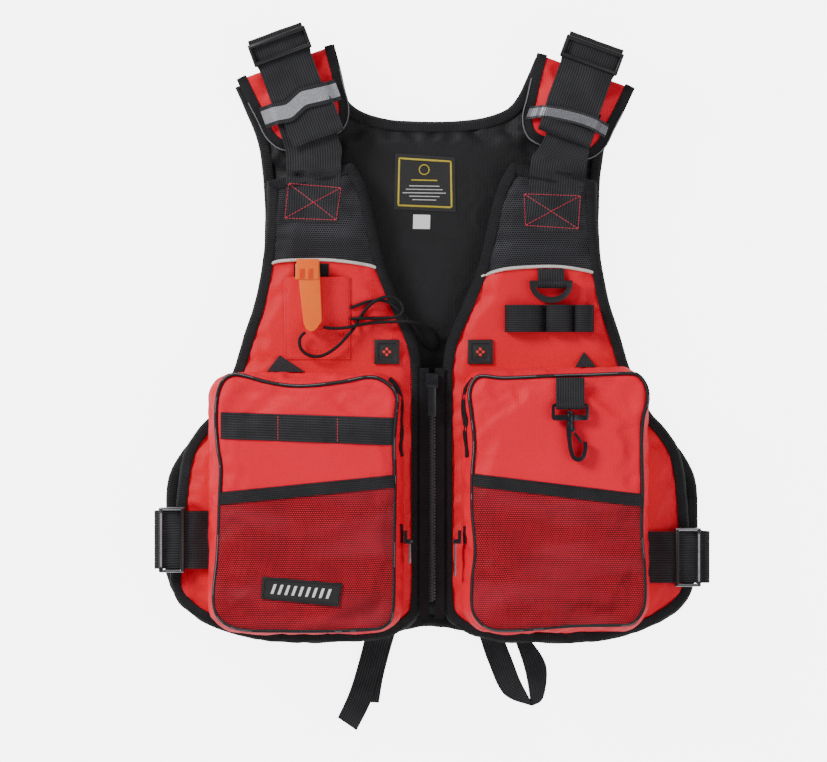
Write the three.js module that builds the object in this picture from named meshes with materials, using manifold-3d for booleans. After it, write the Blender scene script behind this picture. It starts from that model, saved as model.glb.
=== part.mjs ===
// Paddling life jacket, laid on its back: +Z out of the chest, +Y to the neck, +X to the wearer's left.
// Every length is in millimetres. Sides are the wearer's: side -1 is right_*, side +1 is left_*.
import * as THREE from 'three';
import { mergeVertices } from 'three/addons/utils/BufferGeometryUtils.js';
import Module from 'manifold-3d';

const wasm = await Module();
wasm.setup();

// ---------- driving dimensions ----------
const GAP = 0.3;              // clearance between pieces that touch
const CLOTH = 1.6;            // shell and lining cloth
const BACK_FOAM = 17.5;       // buoyancy foam of the back
const FRONT_FOAM = 17.5;      // buoyancy foam of each front
const TORSO_GAP = 6.5;        // air left between the back and the fronts
const BINDING = 6;            // edge binding, measured in from the edge
const ZIP_HALF_GAP = 9.5;     // half of the gap between the two fronts
const YOKE_LINE = 104;        // height of the seam under the net yoke
const WEBBING = 50;           // shoulder and waist webbing width
const WEBBING_THICK = 1.8;
const PAD_THICK = 22;         // shoulder pad
const PAD_TOP = 39;           // pad's top edge above the pad's centre
const PAD_HALF = 45.5;        // half width of the pad at its top
const STRAP_TILT = 20;        // degrees that the shoulder straps lean outwards
const POCKET_DEPTH = 38;      // bellows pocket
const POCKET_WALL = 2;
const POCKET_BEVEL = 8;       // rounding of the pocket's front edge
const CORD = 3;               // lanyard diameter

const BACK_TOP = CLOTH + GAP + BACK_FOAM + GAP + CLOTH;
const FRONT_LOW = BACK_TOP + TORSO_GAP;
const FOAM_LOW = FRONT_LOW + CLOTH + GAP;
const SHELL_LOW = FOAM_LOW + FRONT_FOAM + GAP;
const FRONT_TOP = SHELL_LOW + CLOTH;
const ON_FRONT = FRONT_TOP + GAP;
const POCKET_FACE = ON_FRONT + POCKET_DEPTH;
const ON_POCKET = POCKET_FACE + GAP;

// ---------- finishes ----------
const finish = (color, roughness, metalness = 0) => () =>
  new THREE.MeshStandardMaterial({ color, roughness, metalness });
const redNylon = finish(0xe8142a, 0.7);
const blackNylon = finish(0x1e1e20, 0.75);
const blackSatin = finish(0x232326, 0.5);
const blackNet = finish(0x1a1a1c, 0.85);
const darkRedNet = finish(0x8a1420, 0.85);
const foam = finish(0xd8d8d2, 0.9);
const webbingBlack = finish(0x202022, 0.8);
const blackPlastic = finish(0x18181a, 0.35);
const reflective = finish(0xb4b4b8, 0.35);
const rubber = finish(0x151516, 0.6);
const orangePlastic = finish(0xff7a28, 0.4);
const paintedMetal = finish(0x101012, 0.25, 0.6);
const brightMetal = finish(0xa8a8aa, 0.3, 1);
const labelCloth = finish(0x18181a, 0.6);
const cordBlack = finish(0x161618, 0.8);

// ---------- outlines ----------
// A run is a list of points; three or more make a smooth curve, two make a straight edge.
function outline(runs, side = 1) {
  const points = [];
  for (const run of runs) {
    const knots = run.map(([x, y]) => new THREE.Vector2(x * side, y));
    const steps = knots.length > 2 ? 3 * (knots.length - 1) : 1;
    const curve = knots.length > 2 ? new THREE.SplineCurve(knots) : new THREE.LineCurve(...knots);
    points.push(...curve.getPoints(steps).slice(0, -1));
  }
  return points;
}

function isClockwise(points) {
  return THREE.ShapeUtils.isClockWise(points);
}

function distanceToEdge(point, points) {
  return Math.min(...points.map((start, i) => {
    const along = points[(i + 1) % points.length].clone().sub(start);
    const t = THREE.MathUtils.clamp(point.clone().sub(start).dot(along) / along.lengthSq(), 0, 1);
    return point.distanceTo(start.clone().addScaledVector(along, t));
  }));
}

// Moves a closed outline inwards, and drops the points that a tight corner would fold over.
function inset(points, distance) {
  const turn = isClockwise(points) ? -1 : 1;
  const moved = points.map((point, i) => {
    const before = points[(i + points.length - 1) % points.length];
    const after = points[(i + 1) % points.length];
    const inA = new THREE.Vector2(-(point.y - before.y), point.x - before.x).normalize();
    const inB = new THREE.Vector2(-(after.y - point.y), after.x - point.x).normalize();
    const mean = inA.clone().add(inB).normalize();
    const miter = Math.min(1.5, 1 / Math.max(0.5, mean.dot(inA)));
    return point.clone().addScaledVector(mean, turn * distance * miter);
  });
  return moved.filter((point) => distanceToEdge(point, points) > 0.97 * distance);
}

// Keeps the part of an outline above (keep +1) or below (keep -1) a level.
function clip(points, level, keep) {
  const kept = [];
  points.forEach((point, i) => {
    const next = points[(i + 1) % points.length];
    const inside = keep * (point.y - level) >= 0;
    if (inside) kept.push(point);
    if (inside !== (keep * (next.y - level) >= 0)) {
      kept.push(point.clone().lerp(next, (level - point.y) / (next.y - point.y)));
    }
  });
  return kept;
}

function box(x0, y0, x1, y1, radius = 0, steps = 4) {
  if (!radius) return [[x0, y0], [x1, y0], [x1, y1], [x0, y1]].map(([x, y]) => new THREE.Vector2(x, y));
  const points = [];
  const centres = [[x1 - radius, y0 + radius], [x1 - radius, y1 - radius],
    [x0 + radius, y1 - radius], [x0 + radius, y0 + radius]];
  centres.forEach(([x, y], corner) => {
    for (let i = 0; i <= steps; i += 1) {
      const angle = (corner - 1 + i / steps) * Math.PI / 2;
      points.push(new THREE.Vector2(x + radius * Math.cos(angle), y + radius * Math.sin(angle)));
    }
  });
  return points;
}

function circle(x, y, radius, steps = 16) {
  return Array.from({ length: steps }, (_, i) => new THREE.Vector2(
    x + radius * Math.cos(2 * Math.PI * i / steps), y + radius * Math.sin(2 * Math.PI * i / steps)));
}

// ---------- solids ----------
// A flat piece between two levels, with optional holes.
function slab(points, low, high, holes = []) {
  const shape = new THREE.Shape(isClockwise(points) ? points.slice().reverse() : points);
  shape.holes = holes.map((hole) => new THREE.Path(hole));
  const geometry = new THREE.ExtrudeGeometry(shape, { depth: high - low, bevelEnabled: false });
  geometry.translate(0, 0, low);
  return geometry;
}

// A profile drawn in Y (across) and Z (up), drawn out along X between two stations.
function alongX(points, x0, x1, holes = []) {
  const geometry = slab(points, x0, x1, holes);
  geometry.applyMatrix4(new THREE.Matrix4().set(0, 0, 1, 0, 1, 0, 0, 0, 0, 1, 0, 0, 0, 0, 0, 1));
  return geometry;
}

// A profile drawn in X (across) and Z (up), drawn out along Y between two stations.
function alongY(points, y0, y1, holes = []) {
  const geometry = slab(points, -y1, -y0, holes);
  geometry.rotateX(Math.PI / 2);
  return geometry;
}

function toSolid(geometry) {
  const bare = geometry.clone();
  bare.deleteAttribute('normal');
  bare.deleteAttribute('uv');
  const merged = mergeVertices(bare, 1e-4);
  const index = merged.index.array;
  return new wasm.Manifold(new wasm.Mesh({
    numProp: 3,
    vertProperties: new Float32Array(merged.attributes.position.array),
    triVerts: new Uint32Array(index),
  }));
}

function toGeometry(solid) {
  const mesh = solid.getMesh();
  const geometry = new THREE.BufferGeometry();
  geometry.setAttribute('position', new THREE.BufferAttribute(new Float32Array(mesh.vertProperties), 3));
  geometry.setIndex(new THREE.BufferAttribute(new Uint32Array(mesh.triVerts), 1));
  geometry.computeVertexNormals();
  return geometry;
}

const join = (first, ...rest) => toGeometry(rest.reduce((sum, g) => sum.add(toSolid(g)), toSolid(first)));
const cut = (first, ...rest) => toGeometry(rest.reduce((sum, g) => sum.subtract(toSolid(g)), toSolid(first)));

const vest = new THREE.Group();

function place(name, geometry, material, parent = vest) {
  const mesh = new THREE.Mesh(geometry, material());
  mesh.name = name;
  parent.add(mesh);
  return mesh;
}

const sideName = (side) => (side < 0 ? 'right' : 'left');

// ---------- back panel ----------
const backRuns = (side) => [
  [[0, -226], [40, -232], [110, -237], [170, -231], [214, -217], [238, -198], [246, -176]],
  [[246, -176], [246, -112]],
  [[246, -112], [243, -88], [230, -64], [206, -38], [184, 8], [174, 42], [162, 78], [156, 112], [154, 150]],
  [[154, 150], [156, 190], [161, 222], [172, 250], [182, 272]],
  [[182, 272], [97, 301]],
  [[97, 301], [88, 280], [76, 257], [57, 246], [30, 241], [0, 240]],
].map((run) => run.map(([x, y]) => [x * side, y]));

function backOutline() {
  const leftHalf = outline(backRuns(1));
  const rightHalf = outline(backRuns(-1));
  rightHalf.push(new THREE.Vector2(0, 240));
  return [...leftHalf, ...rightHalf.reverse().slice(0, -1)];
}

const backEdge = backOutline();
const backInner = inset(backEdge, BINDING + GAP);
place('back_shell', slab(backInner, 0, CLOTH), blackNylon);
place('back_foam', slab(inset(backEdge, BINDING + 4), CLOTH + GAP, CLOTH + GAP + BACK_FOAM), foam);
place('back_lining', slab(backInner, BACK_TOP - CLOTH, BACK_TOP), blackSatin);
place('back_binding', slab(backEdge, GAP, BACK_TOP, [inset(backEdge, BINDING)]), blackNylon);
place('neck_label', slab(box(-34, 156, 22, 210, 2), BACK_TOP + GAP, BACK_TOP + GAP + 0.8), labelCloth);

// ---------- shoulders ----------
const SHOULDERS = {
  right: { side: -1, x: -122, y: 258, tail: -40 },
  left: { side: 1, x: 129, y: 250, tail: -25 },
};
const PAD_LOW = BACK_TOP + GAP;
const PAD_HIGH = PAD_LOW + PAD_THICK;
const BUCKLE_BAR = 4;
const BUCKLE_THICK = 3.4;
const BUCKLE_SIDE = 2.6;
const BAND_THICK = 1.2;

// A ladder-lock frame: two end bars above the webbing, one centre bar below it, and two side rails.
function ladderLock(length, webbing, low) {
  const half = webbing / 2 + GAP;
  const high = low + 2 * BUCKLE_THICK + 2 * WEBBING_THICK + 4 * GAP;
  const outer = alongX(box(-length / 2, low, length / 2, high, 2, 2), -half - BUCKLE_SIDE, half + BUCKLE_SIDE);
  const slot = alongX(box(-length, low + BUCKLE_THICK, length, high - BUCKLE_THICK), -half, half);
  const below = alongX(box(BUCKLE_BAR / 2, low - 1, length, low + BUCKLE_THICK + 0.5), -half, half);
  const belowOther = alongX(box(-length, low - 1, -BUCKLE_BAR / 2, low + BUCKLE_THICK + 0.5), -half, half);
  const above = alongX(box(BUCKLE_BAR - length / 2, high - BUCKLE_THICK - 0.5,
    length / 2 - BUCKLE_BAR, high + 1), -half, half);
  return cut(outer, slot, below, belowOther, above);
}

for (const [name, shoulder] of Object.entries(SHOULDERS)) {
  const group = new THREE.Group();
  group.position.set(shoulder.x, shoulder.y, 0);
  group.rotation.z = THREE.MathUtils.degToRad(-STRAP_TILT * shoulder.side);
  vest.add(group);
  const padRuns = [
    [[PAD_HALF, PAD_TOP], [PAD_HALF - 3, -3], [PAD_HALF - 6, -24], [PAD_HALF - 20, PAD_TOP - 79]],
    [[PAD_HALF - 20, PAD_TOP - 79], [20 - PAD_HALF, PAD_TOP - 79]],
    [[20 - PAD_HALF, PAD_TOP - 79], [6 - PAD_HALF, -24], [3 - PAD_HALF, -3], [-PAD_HALF, PAD_TOP]],
    [[-PAD_HALF, PAD_TOP], [PAD_HALF, PAD_TOP]],
  ];
  place(`${name}_shoulder_pad`, slab(outline(padRuns), PAD_LOW, PAD_HIGH), redNylon, group);
  const buckleLow = PAD_HIGH + GAP;
  const webLow = buckleLow + BUCKLE_THICK + 2 * GAP;
  const webHigh = webLow + 2 * WEBBING_THICK;
  const buckleAt = PAD_TOP + 14;
  place(`${name}_shoulder_webbing`, slab(box(-WEBBING / 2, shoulder.tail, WEBBING / 2, buckleAt + 14),
    webLow, webHigh), webbingBlack, group);
  const buckle = place(`${name}_shoulder_buckle`, ladderLock(21, WEBBING, buckleLow), blackPlastic, group);
  buckle.position.y = buckleAt;
  const bandLow = PAD_HIGH + GAP;
  const bandInner = webHigh + GAP;
  const bandEdge = PAD_HALF - 9;
  const bandInside = WEBBING / 2 + 2;
  const bandOutside = bandInside + BAND_THICK;
  const bandProfile = [[-bandEdge, bandLow], [-bandInside, bandLow], [-bandInside, bandInner],
    [bandInside, bandInner], [bandInside, bandLow], [bandEdge, bandLow], [bandEdge, bandLow + BAND_THICK],
    [bandOutside, bandLow + BAND_THICK], [bandOutside, bandInner + BAND_THICK],
    [-bandOutside, bandInner + BAND_THICK], [-bandOutside, bandLow + BAND_THICK],
    [-bandEdge, bandLow + BAND_THICK]];
  place(`${name}_reflective_band`,
    alongY(bandProfile.map(([x, z]) => new THREE.Vector2(x, z)), -8, 12), reflective, group);
}

// ---------- crotch straps ----------
const rightStrap = [
  [[-62, -236], [-70, -263], [-79, -295], [-87.5, -313]],
  [[-87.5, -313], [-70, -325.5]],
  [[-70, -325.5], [-60, -306], [-50, -282], [-44, -260], [-42, -236]],
  [[-42, -236], [-62, -236]],
];
const leftStrap = [
  [[45, -243], [56, -264], [67, -290]],
  [[67, -290], [94, -302]],
  [[94, -302], [104, -294]],
  [[104, -294], [106, -264]],
  [[106, -264], [92, -243]],
  [[92, -243], [45, -243]],
];
place('right_crotch_strap', slab(outline(rightStrap), 0, 2 * WEBBING_THICK), webbingBlack);
place('left_crotch_strap', slab(outline(leftStrap), 0, 2 * WEBBING_THICK), webbingBlack);

// ---------- zip slider and pull, used on all three zips ----------
// Travel is along Y, the pull lies towards -Y and turns about a pin along X.
const PIN_R = 0.9;
const KNUCKLE_R = 2.1;
function zipSlider(width, length, thick) {
  const pinZ = thick + KNUCKLE_R + GAP;
  const body = slab(box(-width / 2, 0, width / 2, length, 1.5, 2), 0, thick);
  const lugProfile = box(0, 0, 4, pinZ + PIN_R + 0.8, 1, 2);
  const lugs = [-1, 1].map((s) => {
    const inner = s * (width / 2 - 1.5);
    const outer = s * (width / 2);
    return alongX(lugProfile, Math.min(inner, outer), Math.max(inner, outer));
  });
  const pin = alongX(circle(2, pinZ, PIN_R, 12), -width / 2 + 0.5, width / 2 - 0.5);
  return join(body, ...lugs, pin);
}

function zipPull(width, length, thick, sliderThick) {
  const pinZ = sliderThick + KNUCKLE_R + GAP;
  const knuckle = circle(2, pinZ, KNUCKLE_R, 16);
  const tongue = box(2 - length, pinZ - thick / 2, 2, pinZ + thick / 2);
  const half = width / 2 - 1.5 - GAP;
  const body = join(alongX(knuckle, -half, half), alongX(tongue, -half, half));
  return cut(body, alongX(circle(2, pinZ, PIN_R + GAP, 16), -width, width));
}

// ---------- fronts ----------
const frontRuns = [
  [[9.5, 6], [9.5, -200]],
  [[9.5, -200], [13, -216], [22, -226], [40, -235], [64, -240]],
  [[64, -240], [122, -241]],
  [[122, -241], [163, -238], [202, -226], [222, -214], [236, -200], [241, -184]],
  [[241, -184], [237, -140], [234, -100], [228, -66], [214, -43], [199, -26], [183, 9], [174, 38],
    [163, 72], [156, 108], [152, 146], [151.5, 184]],
  [[151.5, 184], [73.6, 200.6]],
  [[73.6, 200.6], [61, 178.5], [50, 135], [43.2, 106.7], [29.4, 71.8], [14, 36], [9.5, 6]],
];
const CHAIN_HALF = 5.5;       // half width of the closed zip chain
const ZIP_TOP = 8;            // top stop of the main zip
const ZIP_BOTTOM = -205;

for (const side of [-1, 1]) {
  const name = sideName(side);
  const edge = outline(frontRuns, side);
  const inner = inset(edge, BINDING + GAP);
  const core = inset(edge, BINDING + 4);
  place(`${name}_front_lining`, slab(inner, FRONT_LOW, FRONT_LOW + CLOTH), blackSatin);
  place(`${name}_front_foam`, slab(core, FOAM_LOW, FOAM_LOW + FRONT_FOAM), foam);
  place(`${name}_front_shell`, slab(clip(inner, YOKE_LINE - GAP / 2, -1), SHELL_LOW, FRONT_TOP), redNylon);
  place(`${name}_net_yoke`, slab(clip(inner, YOKE_LINE + GAP / 2, 1), SHELL_LOW, FRONT_TOP), blackNet);
  place(`${name}_front_binding`, slab(edge, FRONT_LOW - GAP, FRONT_TOP, [inset(edge, BINDING)]), blackNylon);

  // The 50 mm webbing sewn to the yoke, which climbs towards the shoulder pad.
  const webX = side < 0 ? -109 : 113;
  const webRuns = [[webX - WEBBING / 2, 144], [webX + WEBBING / 2, 144], [webX + WEBBING / 2, 203],
    [webX - WEBBING / 2, 203]].map(([x, y]) => new THREE.Vector2(x, y));
  place(`${name}_chest_webbing`, slab(webRuns, ON_FRONT, ON_FRONT + WEBBING_THICK), webbingBlack);

  // The waist webbing runs out from behind the pocket through its adjuster.
  const waistY = side < 0 ? -146 : -162;
  const waistHalf = side < 0 ? 27 : 24;
  const buckleX = side < 0 ? -239 : 235;
  const webLow = ON_FRONT;
  const webHigh = webLow + 2 * WEBBING_THICK;
  const webEnds = [side * 213, side * 253].sort((a, b) => a - b);
  place(`${name}_waist_webbing`, slab(box(webEnds[0], waistY - waistHalf, webEnds[1], waistY + waistHalf),
    webLow + 4 * GAP + BUCKLE_THICK, webHigh + 4 * GAP + BUCKLE_THICK), webbingBlack);
  const adjuster = place(`${name}_waist_buckle`, ladderLock(24, 2 * waistHalf, 0), blackPlastic);
  adjuster.rotation.z = Math.PI / 2;
  adjuster.position.set(buckleX, waistY, webLow + 2 * GAP);
  const rearEnds = [side * 196, side * 247].sort((a, b) => a - b);
  place(`${name}_rear_waist_webbing`, slab(box(rearEnds[0], waistY - waistHalf, rearEnds[1],
    waistY + waistHalf), BACK_TOP + GAP, BACK_TOP + GAP + WEBBING_THICK), webbingBlack);

  // Pocket: a tray open towards the front shell, with its front edge rounded.
  const pocketX = [side < 0 ? -206 : 27, side < 0 ? -26 : 199];
  const pocketY = [-231, side < 0 ? 8 : 12];
  const tray = (shrink, depth) => {
    const shape = new THREE.Shape(box(pocketX[0] + shrink, pocketY[0] + shrink, pocketX[1] - shrink,
      pocketY[1] - shrink, 28 - shrink, 4));
    const bevel = POCKET_BEVEL;
    const solid = new THREE.ExtrudeGeometry(shape, { depth: depth, bevelEnabled: true, bevelSize: bevel,
      bevelThickness: bevel, bevelOffset: -bevel, bevelSegments: 2 });
    solid.translate(0, 0, ON_FRONT - bevel);
    return solid;
  };
  const below = slab(box(-300, -300, 300, 300), ON_FRONT - 60, ON_FRONT);
  place(`${name}_pocket`, cut(tray(0, POCKET_DEPTH), tray(POCKET_WALL, POCKET_DEPTH - POCKET_WALL), below),
    redNylon);

  // Net pocket on the face, its top hem slanting down towards the side seam.
  const faceX = side < 0 ? [-195, -38] : [38, 189];
  const hem = side < 0 ? [-110, -93] : [-91, -110];
  const netBottom = -218;
  const netPoints = [[faceX[0], netBottom], [faceX[1], netBottom], [faceX[1], hem[1]], [faceX[0], hem[0]]]
    .map(([x, y]) => new THREE.Vector2(x, y));
  const hemPoints = [[faceX[0], hem[0] - 11], [faceX[1], hem[1] - 11], [faceX[1], hem[1]], [faceX[0], hem[0]]]
    .map(([x, y]) => new THREE.Vector2(x, y));
  place(`${name}_net_pocket`, join(slab(netPoints, ON_POCKET, ON_POCKET + 1),
    slab(hemPoints, ON_POCKET, ON_POCKET + 2)), darkRedNet);

  // Pocket zip: the slider runs on the gusset that faces the main zip.
  const gusset = side < 0 ? pocketX[1] + GAP : pocketX[0] - GAP;
  const pocketZip = new THREE.Group();
  pocketZip.rotation.y = -side * Math.PI / 2;
  pocketZip.position.set(gusset, -149, ON_FRONT + 20);
  vest.add(pocketZip);
  place(`${name}_pocket_zip_slider`, zipSlider(9, 12, 3), paintedMetal, pocketZip);
  place(`${name}_pocket_zip_pull`, zipPull(9, side < 0 ? 20 : 32, 1.8, 3), brightMetal, pocketZip);

  // Rubber square beside the zip.
  const squareX = side < 0 ? -41.5 : 44.5;
  place(`${name}_rubber_square`, slab(box(squareX - 11.5, 15.5, squareX + 11.5, 38, 1.5, 2),
    ON_FRONT, ON_FRONT + 2.6), rubber);
}

// ---------- main zip ----------
const CHAIN_LOW = FRONT_TOP - 3;
const chainTop = CHAIN_LOW + 3;
const tapeTop = CHAIN_LOW + 1.8;
const rightTape = slab(box(-ZIP_HALF_GAP + GAP, ZIP_BOTTOM, 0, ZIP_TOP), CHAIN_LOW + 0.6, tapeTop);
const chain = slab(box(-3, ZIP_BOTTOM, CHAIN_HALF - GAP, ZIP_TOP), CHAIN_LOW, chainTop);
place('right_zip_half', join(rightTape, chain), blackPlastic);
place('left_zip_half', slab(box(CHAIN_HALF, ZIP_BOTTOM, ZIP_HALF_GAP - GAP, ZIP_TOP),
  CHAIN_LOW + 0.6, tapeTop), blackPlastic);
const mainZip = new THREE.Group();
mainZip.position.set(0, -6, chainTop + GAP);
vest.add(mainZip);
place('main_zip_slider', zipSlider(11, 13, 4), paintedMetal, mainZip);
place('main_zip_pull', zipPull(11, 28, 2, 4), paintedMetal, mainZip);

// ---------- wearer's right: whistle and webbing strip ----------
const PATCH = { x0: -136, x1: -75.4, y0: 20, y1: 95.7, depth: 6.5, wall: 1.2 };
const patchTop = ON_FRONT + PATCH.depth;
place('whistle_pocket', cut(slab(box(PATCH.x0, PATCH.y0, PATCH.x1, PATCH.y1), ON_FRONT, patchTop),
  slab(box(PATCH.x0 + PATCH.wall, PATCH.y0 + PATCH.wall, PATCH.x1 - PATCH.wall, PATCH.y1 + 9),
    ON_FRONT - 1, patchTop - PATCH.wall)), redNylon);

const WHISTLE = { x: -114, top: 112, bottom: 46, halfTop: 10.5, halfBottom: 8, thick: 9 };
const whistleLow = patchTop + GAP;
const whistleBody = outline([
  [[WHISTLE.x - WHISTLE.halfTop, WHISTLE.top], [WHISTLE.x - WHISTLE.halfBottom + 4, WHISTLE.bottom + 8]],
  [[WHISTLE.x - WHISTLE.halfBottom + 4, WHISTLE.bottom + 8], [WHISTLE.x - 1, WHISTLE.bottom + 1],
    [WHISTLE.x + 6, WHISTLE.bottom], [WHISTLE.x + WHISTLE.halfBottom + 5, WHISTLE.bottom + 9]],
  [[WHISTLE.x + WHISTLE.halfBottom + 5, WHISTLE.bottom + 9], [WHISTLE.x + WHISTLE.halfTop, WHISTLE.top]],
  [[WHISTLE.x + WHISTLE.halfTop, WHISTLE.top], [WHISTLE.x - WHISTLE.halfTop, WHISTLE.top]],
]);
const tongueLow = ON_FRONT + 2;
const whistleClip = slab(box(WHISTLE.x - 7, PATCH.y1 - 30, WHISTLE.x + 7, WHISTLE.top), tongueLow,
  tongueLow + 1.6);
const whistleBridge = slab(box(WHISTLE.x - 7, PATCH.y1 + 2, WHISTLE.x + 7, WHISTLE.top), tongueLow,
  whistleLow + 1);
place('whistle', join(slab(whistleBody, whistleLow, whistleLow + WHISTLE.thick), whistleClip, whistleBridge),
  orangePlastic);

place('pocket_webbing_strip', slab([[-193, -53], [-34.5, -59], [-34.5, -34], [-193, -28.5]]
  .map(([x, y]) => new THREE.Vector2(x, y)), ON_POCKET, ON_POCKET + WEBBING_THICK), webbingBlack);
place('pocket_name_patch', slab([[-156, -200], [-83, -206], [-83, -187], [-156, -180]]
  .map(([x, y]) => new THREE.Vector2(x, y)), ON_POCKET + 1 + GAP, ON_POCKET + 2.6), rubber);

// ---------- lanyard: two runs of thin cord between the whistle pocket's side and the whistle ----------
const onShell = ON_FRONT + CORD / 2 + GAP;
const onPatch = patchTop + CORD / 2 + 2 * GAP;
const onLining = BACK_TOP + CORD / 2 + GAP;
const hump = CORD + GAP;
const whistleMid = whistleLow + WHISTLE.thick / 2;
const loopRun = [
  [-74.9, 67.2, onShell], [-67, 70.2, onShell], [-58, 73.2, onShell], [-47, 74.2, onShell],
  [-39, 71.6, onShell + 0.6], [-30, 64.5, onShell + 1], [-23, 57.4, onShell + 1.2],
  [-16.2, 49.6, onShell - 1.5], [-10.4, 41.6, onShell - 12], [-6, 34.6, onLining + 6],
  [-0.8, 29.6, onLining], [4.6, 31.8, onLining], [5, 40.5, onLining + 2], [1, 47, onLining + 11],
  [-7, 51.5, onShell - 5], [-15, 53.6, onShell + 1.8], [-20, 54.4, onShell + 4], [-25.5, 54.8, onShell + 4.4],
  [-33, 54.6, onShell + 2.4], [-44, 54.2, onShell + 0.6], [-54, 53.6, onShell + 1],
  [-63, 52.2, onShell + hump + 1.3], [-71, 50.6, onPatch + 0.9], [-79, 49, onPatch + 1.6],
  [-88, 48.4, onPatch + 0.4], [-95, 48.6, onPatch + 1.4], [-99.4, 49.4, whistleMid],
];
const shortRun = [
  [-116.6, 44.6, whistleMid - 1], [-119.4, 42.2, onPatch + 1], [-121.6, 38, onPatch], [-121, 31, onPatch],
  [-116.5, 25.6, onPatch], [-109, 22.7, onPatch], [-101, 23.3, onPatch], [-92.5, 27.6, onPatch],
  [-84.5, 34, onPatch], [-78.6, 40.6, onPatch + 0.2], [-74, 45.6, onPatch], [-70.8, 50, onShell + 3],
  [-67.6, 56, onShell + 0.4], [-62, 64.6, onShell + 0.2], [-57.4, 69.4, onShell + 2],
  [-53, 73, onShell + hump + 0.6], [-47, 76.2, onShell + hump + 0.6], [-40, 77.2, onShell + hump],
  [-33, 75.6, onShell + 2.4], [-28.2, 71, onShell + 3], [-26.6, 66, onShell + 4.4],
  [-28.4, 61.4, onShell + hump + 1.4],
  [-34, 58.6, onShell + 2], [-43, 57.9, onShell], [-54, 57.7, onShell],
  [-61, 57.6, onShell + 3], [-66.4, 57.6, onShell + hump + 0.8], [-70.6, 57.4, onShell + 2.2],
  [-73.2, 57.3, onShell + 1.3], [-74.9, 57.2, onShell + 1.2],
];

function cordTube(points, steps) {
  const route = new THREE.CatmullRomCurve3(points.map((p) => new THREE.Vector3(...p)));
  const section = new THREE.Shape(circle(0, 0, CORD / 2, 8));
  return new THREE.ExtrudeGeometry(section, { steps, extrudePath: route, bevelEnabled: false });
}
place('lanyard_loop_run', cordTube(loopRun, 40), cordBlack);
place('lanyard_short_run', cordTube(shortRun, 36), cordBlack);

// ---------- wearer's left: D-ring, tool loops and snap hook ----------
// A tab of webbing folded round a bar: a sleeve with its tail sewn down towards +Y.
const SLEEVE_WALL = 1.5;
function webbingTab(width, barRadius, tail, low, lift = 0) {
  const bore = barRadius + GAP;
  const outer = bore + SLEEVE_WALL;
  const centre = low + outer + lift;
  const sleeve = alongX(circle(0, centre, outer, 20), -width / 2, width / 2);
  const tongue = alongX(box(0, low, tail, low + 2 + lift), -width / 2, width / 2);
  return cut(join(sleeve, tongue), alongX(circle(0, centre, bore, 20), -width, width));
}

const RING_BAR = 2;
const RING_DROP = 17;
const TAB_WIDTH = 24;
const ringTab = { x: 109.5, y: 89.5 };
const dTab = place('d_ring_tab', webbingTab(TAB_WIDTH, RING_BAR * Math.SQRT2, 15, ON_FRONT), webbingBlack);
dTab.position.set(ringTab.x, ringTab.y, 0);
const dCentre = ON_FRONT + RING_BAR * Math.SQRT2 + GAP + SLEEVE_WALL;
const ringHalf = TAB_WIDTH / 2 + 3;
const dOuter = [new THREE.Vector2(ringHalf + 2 * RING_BAR, RING_BAR)];
const dInner = [new THREE.Vector2(ringHalf, -RING_BAR)];
for (let i = 0; i <= 12; i += 1) {
  const angle = -Math.PI * i / 12;
  dOuter.push(new THREE.Vector2((ringHalf + 2 * RING_BAR) * Math.cos(angle), RING_DROP * Math.sin(angle)));
  dInner.push(new THREE.Vector2(ringHalf * Math.cos(angle),
    -RING_BAR + (RING_DROP - 3 * RING_BAR) * Math.sin(angle)));
}
dOuter.push(new THREE.Vector2(-ringHalf - 2 * RING_BAR, RING_BAR));
dInner.push(new THREE.Vector2(-ringHalf, -RING_BAR));
const dRing = place('d_ring', slab(dOuter, dCentre - RING_BAR, dCentre + RING_BAR, [dInner]), blackPlastic);
dRing.position.set(ringTab.x, ringTab.y, 0);

const LOOP_RISE = 10;
const LOOP_CLOTH = 1.4;
const LOOP_Y = [45, 70];
const loops = [[68.5, 101], [105.5, 128], [132, 147.5]];
function loopArch([from, to]) {
  const half = (to - from) / 2;
  const middle = (from + to) / 2;
  const arc = (shrink) => Array.from({ length: 11 }, (_, i) => {
    const angle = Math.PI * i / 10;
    const x = middle + (half - shrink) * Math.cos(angle);
    const rise = (LOOP_RISE - shrink) * Math.sqrt(Math.sin(angle));
    return new THREE.Vector2(x, ON_FRONT + LOOP_CLOTH / 2 + rise);
  });
  return alongY([...arc(0), ...arc(LOOP_CLOTH).reverse()], ...LOOP_Y);
}
const loopBase = alongY(box(loops[0][0], ON_FRONT, loops[2][1], ON_FRONT + LOOP_CLOTH), ...LOOP_Y);
place('tool_loops', join(loopBase, ...loops.map(loopArch)), webbingBlack);

const HOOK_BAR = 1.5;
const hookTab = { x: 126, y: -22 };
const HOOK_LIFT = 2;            // keeps the hook off the pocket, so that it can turn on its swivel
const hookCentre = ON_POCKET + HOOK_BAR * Math.SQRT2 + GAP + SLEEVE_WALL + HOOK_LIFT;
const hookTabMesh = place('hook_tab', webbingTab(26, HOOK_BAR * Math.SQRT2, 24, ON_POCKET, HOOK_LIFT),
  webbingBlack);
hookTabMesh.position.set(hookTab.x, hookTab.y, 0);
const EYE_HALF = 14;
const EYE_DROP = 9;
const POST_R = 2;
const bossLow = -EYE_DROP - 6;
const eyeFrame = slab(box(-EYE_HALF - 3, bossLow + 1, EYE_HALF + 3, HOOK_BAR, 3, 3),
  hookCentre - HOOK_BAR, hookCentre + HOOK_BAR, [box(-EYE_HALF, -EYE_DROP, EYE_HALF, -HOOK_BAR)]);
const boss = alongY(circle(0, hookCentre, 3.9, 16), bossLow, -EYE_DROP + 1);
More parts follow.
